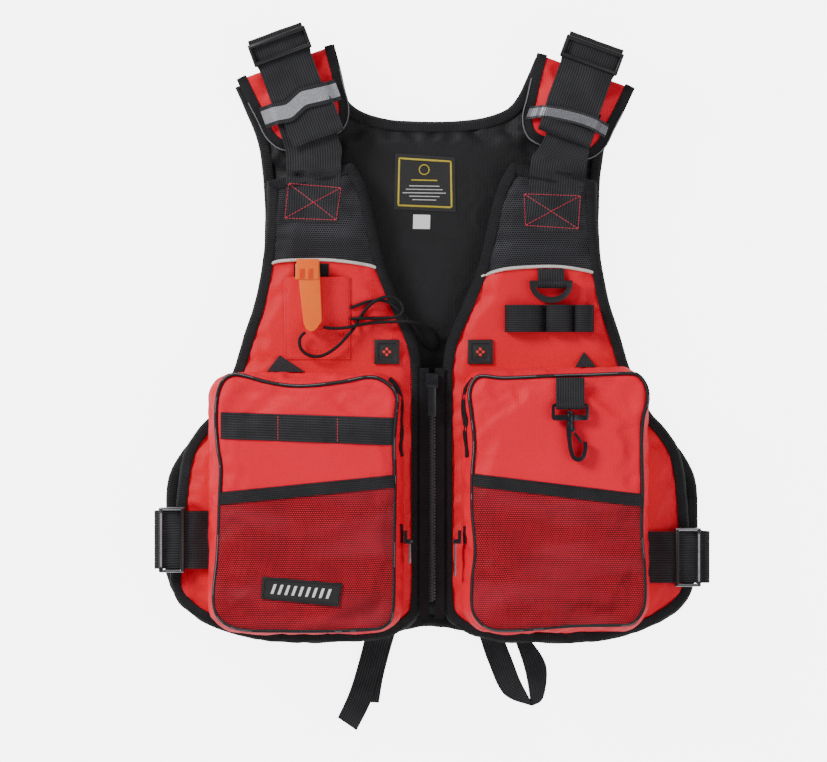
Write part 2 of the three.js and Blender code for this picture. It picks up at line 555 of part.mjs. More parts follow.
const eye = place('hook_eye', cut(join(eyeFrame, boss),
  alongY(circle(0, hookCentre, POST_R + GAP, 16), bossLow - 5, -EYE_DROP + 5)), paintedMetal);
eye.position.set(hookTab.x, hookTab.y, 0);

// Snap hook: a post with a head above the boss, a barrel below it, and an open hook.
const barrelTop = bossLow - GAP;
const post = alongY(circle(0, hookCentre, POST_R, 16), barrelTop - 4, -EYE_DROP + 3);
const head = alongY(circle(0, hookCentre, 3.2, 16), -EYE_DROP + 1 + GAP, -EYE_DROP + 3.6);
const barrel = alongY(circle(0, hookCentre, 3.8, 16), barrelTop - 7, barrelTop);
const bowTop = barrelTop - 5;
const hookShape = outline([
  [[-4, bowTop], [4.5, bowTop]],
  [[4.5, bowTop], [4.5, bowTop - 3]],
  [[4.5, bowTop - 3], [1.2, bowTop - 4.6]],
  [[1.2, bowTop - 4.6], [1.5, bowTop - 15], [3.8, bowTop - 25], [7, bowTop - 27.6], [10.2, bowTop - 25.5],
    [11.8, bowTop - 20], [11.8, bowTop - 13.5]],
  [[11.8, bowTop - 13.5], [15.2, bowTop - 13]],
  [[15.2, bowTop - 13], [15.5, bowTop - 21], [13, bowTop - 28.5], [7.5, bowTop - 31.5], [2, bowTop - 29],
    [-0.8, bowTop - 23], [-2.5, bowTop - 14], [-4, bowTop]],
]);
const HOOK_THICK = 5;
const hook = place('snap_hook', join(slab(hookShape, hookCentre - HOOK_THICK / 2, hookCentre + HOOK_THICK / 2),
  barrel, post, head), paintedMetal);
hook.position.set(hookTab.x, hookTab.y, 0);
const gateShape = [[2.6, bowTop - 5.4], [4.8, bowTop - 4.4], [11.3, bowTop - 13.2], [9.6, bowTop - 15]];
const gate = place('snap_hook_gate', slab(gateShape.map(([x, y]) => new THREE.Vector2(x, y)),
  hookCentre - 1.6, hookCentre + 1.6), paintedMetal);
gate.position.set(hookTab.x, hookTab.y, 0);

// ---------- put the vest's footprint centre at the origin, on the floor ----------
const footprint = new THREE.Box3();
vest.updateMatrixWorld(true);
vest.traverse((item) => {
  if (item.isMesh && !item.name.startsWith('lanyard')) footprint.expandByObject(item, true);
});
const centre = footprint.getCenter(new THREE.Vector3());
vest.position.set(-centre.x, -centre.y, -footprint.min.z);
const part = new THREE.Group();
part.add(vest);

export default part;
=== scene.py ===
import math

import bmesh
import bpy
import numpy as np
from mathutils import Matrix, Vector, noise
from mathutils.bvhtree import BVHTree
from mathutils.kdtree import KDTree


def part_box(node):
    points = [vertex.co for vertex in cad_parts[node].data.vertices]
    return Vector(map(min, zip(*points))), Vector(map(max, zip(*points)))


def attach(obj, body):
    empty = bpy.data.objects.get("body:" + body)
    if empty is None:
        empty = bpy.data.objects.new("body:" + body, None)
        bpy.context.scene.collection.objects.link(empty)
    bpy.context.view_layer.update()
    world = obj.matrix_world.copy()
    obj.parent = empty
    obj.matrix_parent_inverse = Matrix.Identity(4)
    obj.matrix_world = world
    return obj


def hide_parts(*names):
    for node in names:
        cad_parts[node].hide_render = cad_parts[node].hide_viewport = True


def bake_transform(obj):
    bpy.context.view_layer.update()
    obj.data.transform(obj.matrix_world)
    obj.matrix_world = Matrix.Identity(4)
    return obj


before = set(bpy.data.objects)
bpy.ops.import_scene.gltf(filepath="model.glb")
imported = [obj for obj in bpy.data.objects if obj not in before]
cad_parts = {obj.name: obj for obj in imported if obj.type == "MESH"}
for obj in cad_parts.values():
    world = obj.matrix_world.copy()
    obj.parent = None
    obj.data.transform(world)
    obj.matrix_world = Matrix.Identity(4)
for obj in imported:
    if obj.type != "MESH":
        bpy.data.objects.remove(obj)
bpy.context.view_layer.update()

# ---------- camera ----------
# The jacket lies on its back and is seen from straight above, with the neck at the top.
MM = 0.001
CAMERA_HEIGHT = 5.05
VIEW_WIDTH = 0.7608
POCKET_LEVEL = 0.05        # the height at which the view is VIEW_WIDTH wide
eye = bpy.data.cameras.new("camera")
eye.sensor_width = 36
eye.lens = eye.sensor_width * (CAMERA_HEIGHT - POCKET_LEVEL) / VIEW_WIDTH
eye.clip_end = 50
camera = bpy.data.objects.new("camera", eye)
camera.location = (-0.017, -0.002, CAMERA_HEIGHT)
bpy.context.collection.objects.link(camera)
bpy.context.scene.camera = camera
bpy.ops.object.select_all(action="DESELECT")

# ---------- whistle lanyard ----------
# Thin black braided nylon cord, 3 mm across. Both runs start at the whistle pocket's side seam;
# one makes a long loop into the neck opening, and both end at the whistle's foot.
CORD = 3 * MM
RIDGE_SCALE = 0.314        # a wave texture's scale for ridges a metre apart


def linear(code):
    """A linear colour from an sRGB hex value."""
    parts = [int(code[i:i + 2], 16) / 255 for i in (1, 3, 5)]
    return [c / 12.92 if c <= 0.04045 else ((c + 0.055) / 1.055) ** 2.4 for c in parts] + [1]


def add(tree, kind, links=None, **settings):
    """A shader node with its settings, and its sockets set or linked."""
    node = tree.nodes.new(kind)
    for name, value in settings.items():
        setattr(node, name, value)
    for socket, value in (links or {}).items():
        if isinstance(value, bpy.types.NodeSocket):
            tree.links.new(value, node.inputs[socket])
        else:
            node.inputs[socket].default_value = value
    return node


def finish(name, roughness, **sockets):
    """An empty material with a principled shader: the material, its tree and its shader."""
    made = bpy.data.materials.new(name)
    made.use_nodes = True
    shader = made.node_tree.nodes["Principled BSDF"]
    shader.inputs["Roughness"].default_value = roughness
    for socket, value in sockets.items():
        shader.inputs[socket.replace("_", " ")].default_value = value
    return made, made.node_tree, shader


def surface(tree, shader, colour, height, depth):
    """Joins a colour and a relief, depth metres deep, to the shader."""
    tree.links.new(colour, shader.inputs["Base Color"])
    bump = add(tree, "ShaderNodeBump", {"Height": height, "Distance": depth, "Strength": 1.0})
    tree.links.new(bump.outputs["Normal"], shader.inputs["Normal"])


def two_waves(tree, vector, pitch_x, pitch_y):
    """Ridges across and along a cloth, pitch metres apart."""
    return [add(tree, "ShaderNodeTexWave",
                {"Vector": vector, "Scale": RIDGE_SCALE / pitch, "Distortion": 0.0},
                bands_direction=way, wave_profile="SIN").outputs["Fac"]
            for way, pitch in (("X", pitch_x), ("Y", pitch_y))]


def sew(tree, operation, a, b):
    """One value from two."""
    return add(tree, "ShaderNodeMath", {0: a, 1: b}, operation=operation).outputs[0]


def blend_colours(tree, factor, low, high):
    """A colour between two hex values or sockets."""
    pair = [linear(c) if isinstance(c, str) else c for c in (low, high)]
    node = add(tree, "ShaderNodeMix", {0: factor, 6: pair[0], 7: pair[1]}, data_type="RGBA")
    return node.outputs[2]


def braided_cord():
    """Braided nylon cord: small diagonal plaits with a dull sheen, their tops painted grey as a highlight."""
    made, tree, shader = finish("braided_nylon_cord", 0.6, Sheen_Weight=0.02, Specular_IOR_Level=0.25)
    uv = add(tree, "ShaderNodeUVMap", uv_map="UVMap").outputs["UV"]
    turned = [add(tree, "ShaderNodeMapping", {"Vector": uv, "Rotation": (0, 0, math.radians(a))}
                  ).outputs["Vector"] for a in (45, -45)]
    plaits = [two_waves(tree, v, 1.6 * MM, 1.6 * MM)[0] for v in turned]
    height = sew(tree, "MULTIPLY", *plaits)
    # Painted highlight: the tops of the plaits are coloured grey and the hollows black.
    surface(tree, shader, blend_colours(tree, height, "#0C0C0E", "#2C2C30"), height, 0.3 * MM)
    return made


cord_nylon = braided_cord()


def smooth_path(points, step, closed=False):
    """A smooth line through points, evenly spaced."""
    p = [np.array(q, float) for q in points]
    n = len(p)
    spans = n if closed else n - 1
    line = []
    for i in range(spans):
        a, b, c, d = (p[(i + k) % n] if closed else p[min(max(i + k, 0), n - 1)] for k in (-1, 0, 1, 2))
        for t in np.linspace(0, 1, 12, endpoint=False):
            line.append(0.5 * (2 * b + (c - a) * t + (2 * a - 5 * b + 4 * c - d) * t ** 2
                               + (3 * b - a - 3 * c + d) * t ** 3))
    line.append(p[0] if closed else p[-1])
    return evenly(line, step, closed)


def evenly(points, step, closed=False):
    """The same line with its points step apart; a closed line doesn't repeat its first point."""
    line = np.array(points, float)
    if closed and np.linalg.norm(line[0] - line[-1]) > 1e-9:
        line = np.vstack([line, line[:1]])
    gaps = np.linalg.norm(np.diff(line, axis=0), axis=1)
    along = np.concatenate([[0], np.cumsum(gaps)])
    count = max(2, round(along[-1] / step) + 1)
    at = np.linspace(0, along[-1], count)
    made = np.stack([np.interp(at, along, line[:, k]) for k in range(line.shape[1])], axis=1)
    return made[:-1] if closed else made


def new_piece(name, verts, faces, uvs=None):
    """A mesh object at the origin; uvs is one (u, v) for each face corner."""
    mesh = bpy.data.meshes.new(name)
    mesh.from_pydata([tuple(v) for v in verts], [], faces)
    if uvs is not None:
        layer = mesh.uv_layers.new(name="UVMap")
        layer.data.foreach_set("uv", np.array(uvs, np.float32).ravel())
    piece = bpy.data.objects.new(name, mesh)
    bpy.context.collection.objects.link(piece)
    return piece


def dress(piece, material, body, stands_for=()):
    """Gives a piece its material and its body."""
    if material is not None:
        piece.data.materials.clear()
        piece.data.materials.append(material)
    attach(piece, body)
    if stands_for:
        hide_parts(*stands_for)
    return piece


def smooth(piece, degrees):
    """Shades a piece smooth, with a sharp edge wherever faces meet at more than this angle."""
    piece.data.polygons.foreach_set("use_smooth", [True] * len(piece.data.polygons))
    piece.data.set_sharp_from_angle(angle=math.radians(degrees))
    piece.data.update()


def tube(name, path, radius, sides=10, closed=False):
    """A round cord along path, closed at its ends or into a ring, with its own UV map in metres."""
    path = [Vector(p) for p in path]
    n = len(path)
    tangents = []
    for i in range(n):
        a = path[(i - 1) % n] if closed else path[max(i - 1, 0)]
        b = path[(i + 1) % n] if closed else path[min(i + 1, n - 1)]
        tangents.append((b - a).normalized())
    normal = tangents[0].orthogonal().normalized()
    if abs(tangents[0].z) < 0.9:
        normal = (Vector((0, 0, 1)) - tangents[0] * tangents[0].z).normalized()
    verts, lengths, total = [], [], 0.0
    for i, p in enumerate(path):
        if closed:
            normal = (Vector((0, 0, 1)) - tangents[i] * tangents[i].z).normalized()
        else:
            normal = (normal - tangents[i] * normal.dot(tangents[i])).normalized()
        side = tangents[i].cross(normal)
        if i:
            total += (p - path[i - 1]).length
        lengths.append(total)
        for k in range(sides):
            a = 2 * math.pi * k / sides
            verts.append(p + radius * (normal * math.cos(a) + side * math.sin(a)))
    faces, uvs = [], []
    around = 2 * math.pi * radius / sides
    for i in range(n if closed else n - 1):
        j = (i + 1) % n
        v0 = lengths[i]
        v1 = lengths[j] if j else total + (path[0] - path[-1]).length
        for k in range(sides):
            m = (k + 1) % sides
            faces.append((i * sides + k, i * sides + m, j * sides + m, j * sides + k))
            uvs += [(k * around, v0), ((k + 1) * around, v0), ((k + 1) * around, v1), (k * around, v1)]
    if not closed:
        faces.append(tuple(reversed(range(sides))))
        faces.append(tuple(range((n - 1) * sides, n * sides)))
        uvs += [(0, 0)] * (2 * sides)
    made = new_piece(name, verts, faces, uvs)
    outward(made)
    smooth(made, 60)
    return made


def outward(piece):
    """Turns every face of a closed mesh outwards."""
    work = bmesh.new()
    work.from_mesh(piece.data)
    bmesh.ops.recalc_face_normals(work, faces=work.faces)
    work.to_mesh(piece.data)
    work.free()


LOOP_RUN = [
    (-74.9, 65.2, 51.2), (-67, 68.2, 51.2), (-58, 71.2, 51.2), (-47, 72.2, 51.2), (-39, 69.6, 51.8),
    (-30, 62.5, 52.2), (-23, 55.4, 52.4), (-16.2, 47.6, 49.7), (-10.4, 39.6, 39.2), (-6, 32.6, 29.1),
    (-0.8, 27.6, 23.1), (4.6, 29.8, 23.1), (5, 38.5, 25.1), (1, 45, 34.1), (-7, 49.5, 46.2),
    (-15, 51.6, 53.0), (-20, 52.4, 55.2), (-25.5, 52.8, 55.6), (-33, 52.6, 53.6), (-44, 52.2, 51.8),
    (-54, 51.6, 52.2), (-63, 50.2, 55.8), (-71, 48.6, 58.9), (-79, 47, 59.6), (-88, 46.4, 58.4),
    (-95, 46.6, 59.4), (-99.4, 47.4, 60.7),
]
SHORT_RUN = [
    (-116.6, 42.6, 59.7), (-119.4, 40.2, 59.0), (-121.6, 36, 58.0), (-121, 29, 58.0), (-116.5, 23.6, 58.0),
    (-109, 20.7, 58.0), (-101, 21.3, 58.0), (-92.5, 25.6, 58.0), (-84.5, 32, 58.0), (-78.6, 38.6, 58.2),
    (-74, 43.6, 58.0), (-70.8, 48, 54.2), (-67.6, 54, 51.6), (-62, 62.6, 51.4), (-57.4, 67.4, 53.2),
    (-53, 71, 55.1), (-47, 74.2, 55.1), (-40, 75.2, 54.5), (-33, 73.6, 53.6), (-28.2, 69, 54.2),
    (-26.6, 64, 55.6), (-28.4, 59.4, 55.9), (-34, 56.6, 53.2), (-43, 55.9, 51.2), (-54, 55.7, 51.2),
    (-61, 55.6, 54.2), (-66.4, 55.6, 55.3), (-70.6, 55.4, 53.4), (-73.2, 55.3, 52.5), (-74.9, 55.2, 52.4),
]
for name, route, node, start, end in (
    ("lanyard_loop", LOOP_RUN, "lanyard_loop_run", (-78, 47, 60), (-98, 47, 60)),
    ("lanyard_tail", SHORT_RUN, "lanyard_short_run", (-90, 28, 58), (-117, 34, 58)),
):
    path = smooth_path([Vector(p) * MM for p in route], 1.5 * MM)
    piece = tube(name, path, CORD / 2)
    piece.data.materials.append(cord_nylon)
    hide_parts(node)
    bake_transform(piece)

# ---------- back panel ----------
# One flat foam panel in a black nylon shell with a smooth satin lining, which shows inside the neck
# and between the fronts. Its edge is pinched thin and bound with folded black tape.
PINCHED = 5.5 * MM        # half thickness where the tape holds the edge
PINCH_WIDTH = 34 * MM     # how far in the panel reaches its full thickness
TAPE_WIDTH = 9.5 * MM
CRINKLE = 2.4             # how much more the tape is crinkled along the hem
CRINKLE_TOP = -120 * MM
TAPE_WOBBLE = 0.5 * MM
TAPE_HALF = 6.4 * MM      # half thickness of the bound edge
SEARCH_STEP = 1.5 * MM


def rim_of(node):
    """The outer edge of a flat ring: its points in order, seen from above."""
    work = bmesh.new()
    work.from_mesh(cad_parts[node].data)
    bmesh.ops.remove_doubles(work, verts=work.verts, dist=1e-6)
    work.normal_update()
    low = [f for f in work.faces if f.normal.z < -0.9]
    kept = set(low)
    border = [e for e in work.edges if sum(f in kept for f in e.link_faces) == 1]
    links = {}
    for e in border:
        a, b = e.verts
        links.setdefault(a, []).append(b)
        links.setdefault(b, []).append(a)
    loops = []
    while links:
        start = next(iter(links))
        loop, last, here = [], None, start
        while here in links:
            loop.append(Vector(here.co.xy))
            onward = [v for v in links.pop(here) if v is not last and v in links]
            last, here = here, onward[0] if onward else None
        loops.append(loop)
    work.free()
    widest = max(loops, key=lambda l: max(p.x for p in l) - min(p.x for p in l))
    twice = sum(a.x * b.y - b.x * a.y for a, b in zip(widest, widest[1:] + widest[:1]))
    return widest if twice > 0 else widest[::-1]


def dense_tree(points, closed=True):
    """A search tree over a line, to ask how far a point is from it."""
    line = evenly([tuple(p) for p in points], SEARCH_STEP, closed)
    tree = KDTree(len(line))
    for i, p in enumerate(line):
        tree.insert((p[0], p[1], 0), i)
    tree.balance()
    return lambda x, y: tree.find((x, y, 0))[2]


def ease(t):
    """A soft step from 0 to 1."""
    t = min(max(t, 0.0), 1.0)
    return t * t * (3 - 2 * t)


def offset_line(points, distance):
    """A closed counter-clockwise line moved outwards (or inwards, if negative)."""
    n = len(points)
    moved = []
    for i in range(n):
        a, b = Vector(points[i - 1]), Vector(points[(i + 1) % n])
        d = (b - a).normalized()
        moved.append(Vector(points[i]) + Vector((d.y, -d.x)) * distance)
    return moved


def prism(name, points, low, high):
    """A closed flat block over an outline."""
    n = len(points)
    verts = [(p[0], p[1], z) for z in (low, high) for p in points]
    faces = [tuple(reversed(range(n))), tuple(range(n, 2 * n))]
    faces += [(i, (i + 1) % n, n + (i + 1) % n, n + i) for i in range(n)]
    return new_piece(name, verts, faces)


def apply_modifiers(piece):
    bpy.ops.object.select_all(action="DESELECT")
    piece.select_set(True)
    bpy.context.view_layer.objects.active = piece
    for modifier in list(piece.modifiers):
        bpy.ops.object.modifier_apply(modifier=modifier.name)
    piece.select_set(False)


def remesh(piece, voxel):
    made = piece.modifiers.new("remesh", "REMESH")
    made.mode = "VOXEL"
    made.voxel_size = voxel
    apply_modifiers(piece)


def points_of(piece):
    co = np.empty(len(piece.data.vertices) * 3)
    piece.data.vertices.foreach_get("co", co)
    return co.reshape(-1, 3)


def set_points(piece, co):
    piece.data.vertices.foreach_set("co", np.asarray(co).ravel())
    piece.data.update()


def inflate(piece, pressure, cap, held):
    """Lets the cover swell as sewn cloth over foam. held(x, y, z) is 1 where the cloth is sewn down."""
    scene = bpy.context.scene
    before = points_of(piece)
    group = piece.vertex_groups.new(name="sewn")
    for i, p in enumerate(before):
        weight = held(*p)
        if weight > 0:
            group.add([i], weight, "REPLACE")
    cloth = piece.modifiers.new("cloth", "CLOTH")
    made = cloth.settings
    made.use_pressure = True
    made.uniform_pressure_force = pressure
    made.effector_weights.gravity = 0
    made.vertex_group_mass = "sewn"
    made.shrink_min = -0.035
    made.quality = 4
    cloth.collision_settings.use_collision = False
    for at in range(1, 21):
        scene.frame_set(at)
    seen = piece.evaluated_get(bpy.context.evaluated_depsgraph_get())
    after = np.array([v.co for v in seen.data.vertices])
    moved = after - before
    far = np.linalg.norm(moved, axis=1)
    moved *= (np.minimum(far, cap) / np.maximum(far, 1e-9))[:, None]
    piece.modifiers.remove(cloth)
    piece.vertex_groups.remove(group)
    scene.frame_set(1)
    set_points(piece, before + moved)
    finer = piece.modifiers.new("finer", "SUBSURF")
    finer.levels = finer.render_levels = 1
    apply_modifiers(piece)


def folds(x, y, size, turn, seed):
    """Soft ridges in cloth, size metres apart, lying along turn degrees: from -1 to 1."""
    c, s = math.cos(math.radians(turn)), math.sin(math.radians(turn))
    u, v = (x * c + y * s) / (3.2 * size), (y * c - x * s) / size
    bent = noise.noise(Vector((u * 1.7, v * 0.6, seed + 9.1)))
    ridge = 1 - 2 * abs(noise.noise(Vector((u + 0.5 * bent, v + 0.8 * bent, seed))))
    return 0.6 * ridge ** 3 + 0.4 * noise.noise(Vector((u * 2.1, v * 1.3, seed + 4.3)))


def panel(name, rim, low, high, voxel, seed):
    """A foam panel between pinched edges, with puckers along its tape."""
    middle, half = (low + high) / 2, (high - low) / 2
    to_edge = dense_tree(rim)
    piece = prism(name, offset_line(rim, -1.2 * MM), low, high)
    remesh(piece, voxel)
    co = points_of(piece)
    for p in co:
        d = to_edge(p[0], p[1])
        at = PINCHED + (half - PINCHED - 1.5 * MM) * ease(d / PINCH_WIDTH)
        p[2] = middle + (p[2] - middle) * at / half
    set_points(piece, co)
    inflate(piece, 3.0, 4 * MM, lambda x, y, z: 1.0 if to_edge(x, y) < 10 * MM else 0.0)
    co = points_of(piece)
    for p in co:
        d = to_edge(p[0], p[1])
        up = 1 if p[2] > middle else -1
        near = math.exp(-((d - 13 * MM) / (9 * MM)) ** 2)
        pucker = noise.noise(Vector((p[0] * 95, p[1] * 95, seed + up)))
        broad = folds(p[0], p[1], 34 * MM, 62, seed + up) + 0.6 * folds(p[0], p[1], 19 * MM, -30, seed)
        p[2] += up * (near * 2.2 * MM * pucker + 2.5 * MM * broad * ease(d / (28 * MM)) - 1.2 * MM)
        p[2] = min(max(p[2], low), high)
    set_points(piece, co)
    smooth(piece, 75)
    return piece


def swept_tape(name, rim, middle, profile, step, seed):
    """A closed band of tape round an outline. profile holds (inwards, up) pairs."""
    line = evenly([tuple(p) for p in rim], step, True)
    n, m = len(line), len(profile)
    inward = [p - q for p, q in zip((Vector(a) for a in offset_line(line, -1)), (Vector(a) for a in line))]
    # A short average keeps the tape from crossing itself at a corner.
    inward = [(inward[i - 2] + inward[i - 1] + inward[i] + inward[(i + 1) % n] + inward[(i + 2) % n]
               ).normalized() for i in range(n)]
    verts = []
    for i in range(n):
        for u, w in profile:
            ripple = noise.noise(Vector((line[i][0] * 60, line[i][1] * 60, seed + w * 300)))
            ripple *= 1 + CRINKLE * ease((CRINKLE_TOP - line[i][1]) / (60 * MM))
            crimp = noise.noise(Vector((line[i][0] * 210, line[i][1] * 210, seed + 7)))
            out = u + TAPE_WOBBLE * ripple * (1 if u < 2 * MM else 0.5)
            p = Vector(line[i]) + inward[i] * out
            verts.append((p.x, p.y, middle + w * (1 + 0.10 * crimp) + TAPE_WOBBLE * ripple * 0.5))
    across = np.concatenate([[0], np.cumsum([math.dist(profile[k], profile[(k + 1) % m]) for k in range(m)])])
    faces, uvs = [], []
    for i in range(n):
        j = (i + 1) % n
        for k in range(m):
            q = (k + 1) % m
            faces.append((i * m + k, j * m + k, j * m + q, i * m + q))
            uvs += [(across[k], i * step), (across[k], (i + 1) * step),
                    (across[k + 1], (i + 1) * step), (across[k + 1], i * step)]
    piece = new_piece(name, verts, faces, uvs)
    outward(piece)
    smooth(piece, 50)
    return piece


def folded_tape(half):
    """The section of a tape folded over an edge whose half thickness is given."""
    return [(-0.6 * MM, 0), (-0.2 * MM, half * 0.55), (1.8 * MM, half * 0.92),
            (TAPE_WIDTH - 1 * MM, half * 1.2), (TAPE_WIDTH, half * 1.1),
            (TAPE_WIDTH, -half * 1.1), (TAPE_WIDTH - 1 * MM, -half * 1.2),
            (1.8 * MM, -half * 0.92), (-0.2 * MM, -half * 0.55)]


def satin_lining():
    """Polyester satin lining: a tight smooth cloth with a soft broad sheen and faint crush marks."""
    made, tree, shader = finish("polyester_satin_lining", 0.48, Sheen_Weight=0.03, Sheen_Roughness=0.4,
                                Specular_IOR_Level=0.3)
    at = add(tree, "ShaderNodeTexCoord").outputs["Object"]
    # Threads 0.25 mm apart are drawn at 1.3 mm so that they show.
    weave = two_waves(tree, at, 1.3 * MM, 1.3 * MM)
    crush = add(tree, "ShaderNodeTexNoise", {"Vector": at, "Scale": 22, "Detail": 5, "Distortion": 1.2})
    threads = sew(tree, "MULTIPLY", weave[0], weave[1])
    height = sew(tree, "ADD", sew(tree, "MULTIPLY", threads, 0.12), crush.outputs["Fac"])
    # Painted light and shade on the crush marks: the colour is lighter where the crush noise raises the cloth
    # and darker in its hollows.
    surface(tree, shader, blend_colours(tree, crush.outputs["Fac"], "#0B0B0D", "#1A1A1E"), height, 1.6 * MM)
    return made


def plain_nylon(name, low, high, roughness, sheen):
    """Coated oxford nylon: a square weave under a thin coating, slightly mottled by the same noise that
    raises its soft creases, so that its colour is painted lighter on the threads and crease ridges and darker
    in their hollows.
    """
    made, tree, shader = finish(name, roughness, Sheen_Weight=sheen, Sheen_Roughness=0.5,
                                Specular_IOR_Level=0.25)
    at = add(tree, "ShaderNodeTexCoord").outputs["Object"]
    # Threads 0.5 mm apart are drawn at 1.5 mm so that they show.
    weave = two_waves(tree, at, 1.5 * MM, 1.5 * MM)
    threads = sew(tree, "MAXIMUM", weave[0], weave[1])
    soft = add(tree, "ShaderNodeTexNoise", {"Vector": at, "Scale": 16, "Detail": 4, "Distortion": 0.6})
    # Painted light and shade: the colour follows the weave and the creases of the relief, lighter where they
    # rise.
    relief_light_and_shade = sew(tree, "ADD", sew(tree, "MULTIPLY", threads, 0.2),
               sew(tree, "MULTIPLY", soft.outputs["Fac"], 0.8))
    height = sew(tree, "ADD", sew(tree, "MULTIPLY", threads, 0.35), soft.outputs["Fac"])
    surface(tree, shader, blend_colours(tree, relief_light_and_shade, low, high), height, 0.5 * MM)
    return made


def ribbed_tape(name, low, high, rib, across, roughness):
    """Woven nylon tape: ribs run along it, or across it as on grosgrain."""
    made, tree, shader = finish(name, roughness, Sheen_Weight=0.03, Sheen_Roughness=0.45,
                                Specular_IOR_Level=0.22)
    uv = add(tree, "ShaderNodeUVMap", uv_map="UVMap").outputs["UV"]
    along, over = (0.9 * MM, rib) if across else (rib, 1.3 * MM)
    ribs = two_waves(tree, uv, along, over)
    main, fine = (ribs[1], ribs[0]) if across else (ribs[0], ribs[1])
    height = sew(tree, "ADD", main, sew(tree, "MULTIPLY", fine, 0.45))
    # Painted highlight: the rib tops are coloured lighter than their hollows, more strongly in patches set by
    # a noise.
    at = add(tree, "ShaderNodeTexCoord").outputs["Object"]
    uneven_rib_highlight = add(tree, "ShaderNodeTexNoise", {"Vector": at, "Scale": 45, "Detail": 3})
    relief_light_and_shade = sew(tree, "MULTIPLY", sew(tree, "MULTIPLY", height, 0.75), uneven_rib_highlight.outputs["Fac"])
    surface(tree, shader, blend_colours(tree, relief_light_and_shade, low, high), height, 0.35 * MM)
    return made


satin = satin_lining()
black_nylon = plain_nylon("coated_black_oxford_nylon", "#0D0D0F", "#1A1A1D", 0.6, 0.03)
binding_tape = ribbed_tape("black_binding_tape", "#0D0D0F", "#303034", 1.9 * MM, True, 0.62)
BACK_LOW, BACK_HIGH = 0.0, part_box("back_lining")[1].z
back_rim = rim_of("back_binding")
back_panel = panel("back_panel", back_rim, BACK_LOW, BACK_HIGH, 6 * MM, 3.1)
back_middle = (BACK_LOW + BACK_HIGH) / 2
back_panel.data.materials.append(satin)
back_panel.data.materials.append(black_nylon)
for face in back_panel.data.polygons:
    face.material_index = 0 if face.center.z > back_middle else 1
dress(back_panel, None, "back", ["back_shell", "back_foam", "back_lining"])
back_tape = swept_tape("back_edge_tape", back_rim, back_middle, folded_tape(TAPE_HALF), 3 * MM, 1.7)
dress(back_tape, binding_tape, "back", ["back_binding"])

# ---------- fronts ----------
# Two foam fronts in coated red nylon, lined with the same satin, with an upper yoke of black net
# over black cloth. An off-white piping lies in the seam between net and nylon.
FRONT_LOW, FRONT_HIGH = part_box("right_front_lining")[0].z - 0.3 * MM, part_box("right_front_shell")[1].z
FRONT_MIDDLE = (FRONT_LOW + FRONT_HIGH) / 2
YOKE_SEAM = {
    "right": [(-158, 94), (-151.8, 101.5), (-145.9, 107), (-131.9, 109), (-94.8, 109.3), (-61.6, 105.2),
              (-48, 101)],
    "left": [(44, 93.5), (53.7, 97.4), (69.9, 101.4), (95.7, 103.2), (116.8, 103.2), (134.7, 100.9),
             (150, 97.4), (158, 92)],
}
PIPING = 1.5 * MM
SIDES = {"right": -1, "left": 1}
OVERHEAD = 0.3            # well above every piece
NET_PITCH = 2.1 * MM
NET_THREAD = 0.045


def skin_of(piece):
    """A search tree over a finished mesh."""
    work = bmesh.new()
    work.from_mesh(piece.data)
    tree = BVHTree.FromBMesh(work)
    work.free()
    return tree


def top_of(skins, x, y, fallback=0.0):
    """The highest point of these meshes over (x, y)."""
    hits = [s.ray_cast(Vector((x, y, OVERHEAD)), Vector((0, 0, -1)))[0] for s in skins]
    return max([hit.z for hit in hits if hit], default=fallback)


def height_on(line):
    """The seam's y at a given x."""
    xs, ys = zip(*((a * MM, b * MM) for a, b in line))
    return lambda x: float(np.interp(x, xs, ys))


def kept_mesh(name, work):
    """A new piece from a finished bmesh."""
    mesh = bpy.data.meshes.new(name)
    work.to_mesh(mesh)
    work.free()
    piece = bpy.data.objects.new(name, mesh)
    bpy.context.collection.objects.link(piece)
    return piece


def cut_patch(name, source, keep, seam, above, lift, thick):
    """Cloth lying on a finished mesh: its upper faces, trimmed along a seam, lifted and thickened."""
    work = bmesh.new()
    work.from_mesh(source.data)
    drop = [f for f in work.faces if f.normal.z < 0.35 or not keep(*f.calc_center_median().xy)]
    bmesh.ops.delete(work, geom=drop, context="FACES")
    for v in work.verts:
        v.co.y -= seam(v.co.x)
    bmesh.ops.bisect_plane(work, geom=work.verts[:] + work.edges[:] + work.faces[:], plane_co=(0, 0, 0),
                           plane_no=(0, 1, 0), clear_inner=above, clear_outer=not above)
    for v in work.verts:
        v.co.y += seam(v.co.x)
    work.normal_update()
    for v in work.verts:
        v.co += v.normal * lift
    piece = kept_mesh(name, work)
    made = piece.modifiers.new("thick", "SOLIDIFY")
    made.thickness = thick
    made.offset = 1
    apply_modifiers(piece)
    smooth(piece, 60)
    return piece


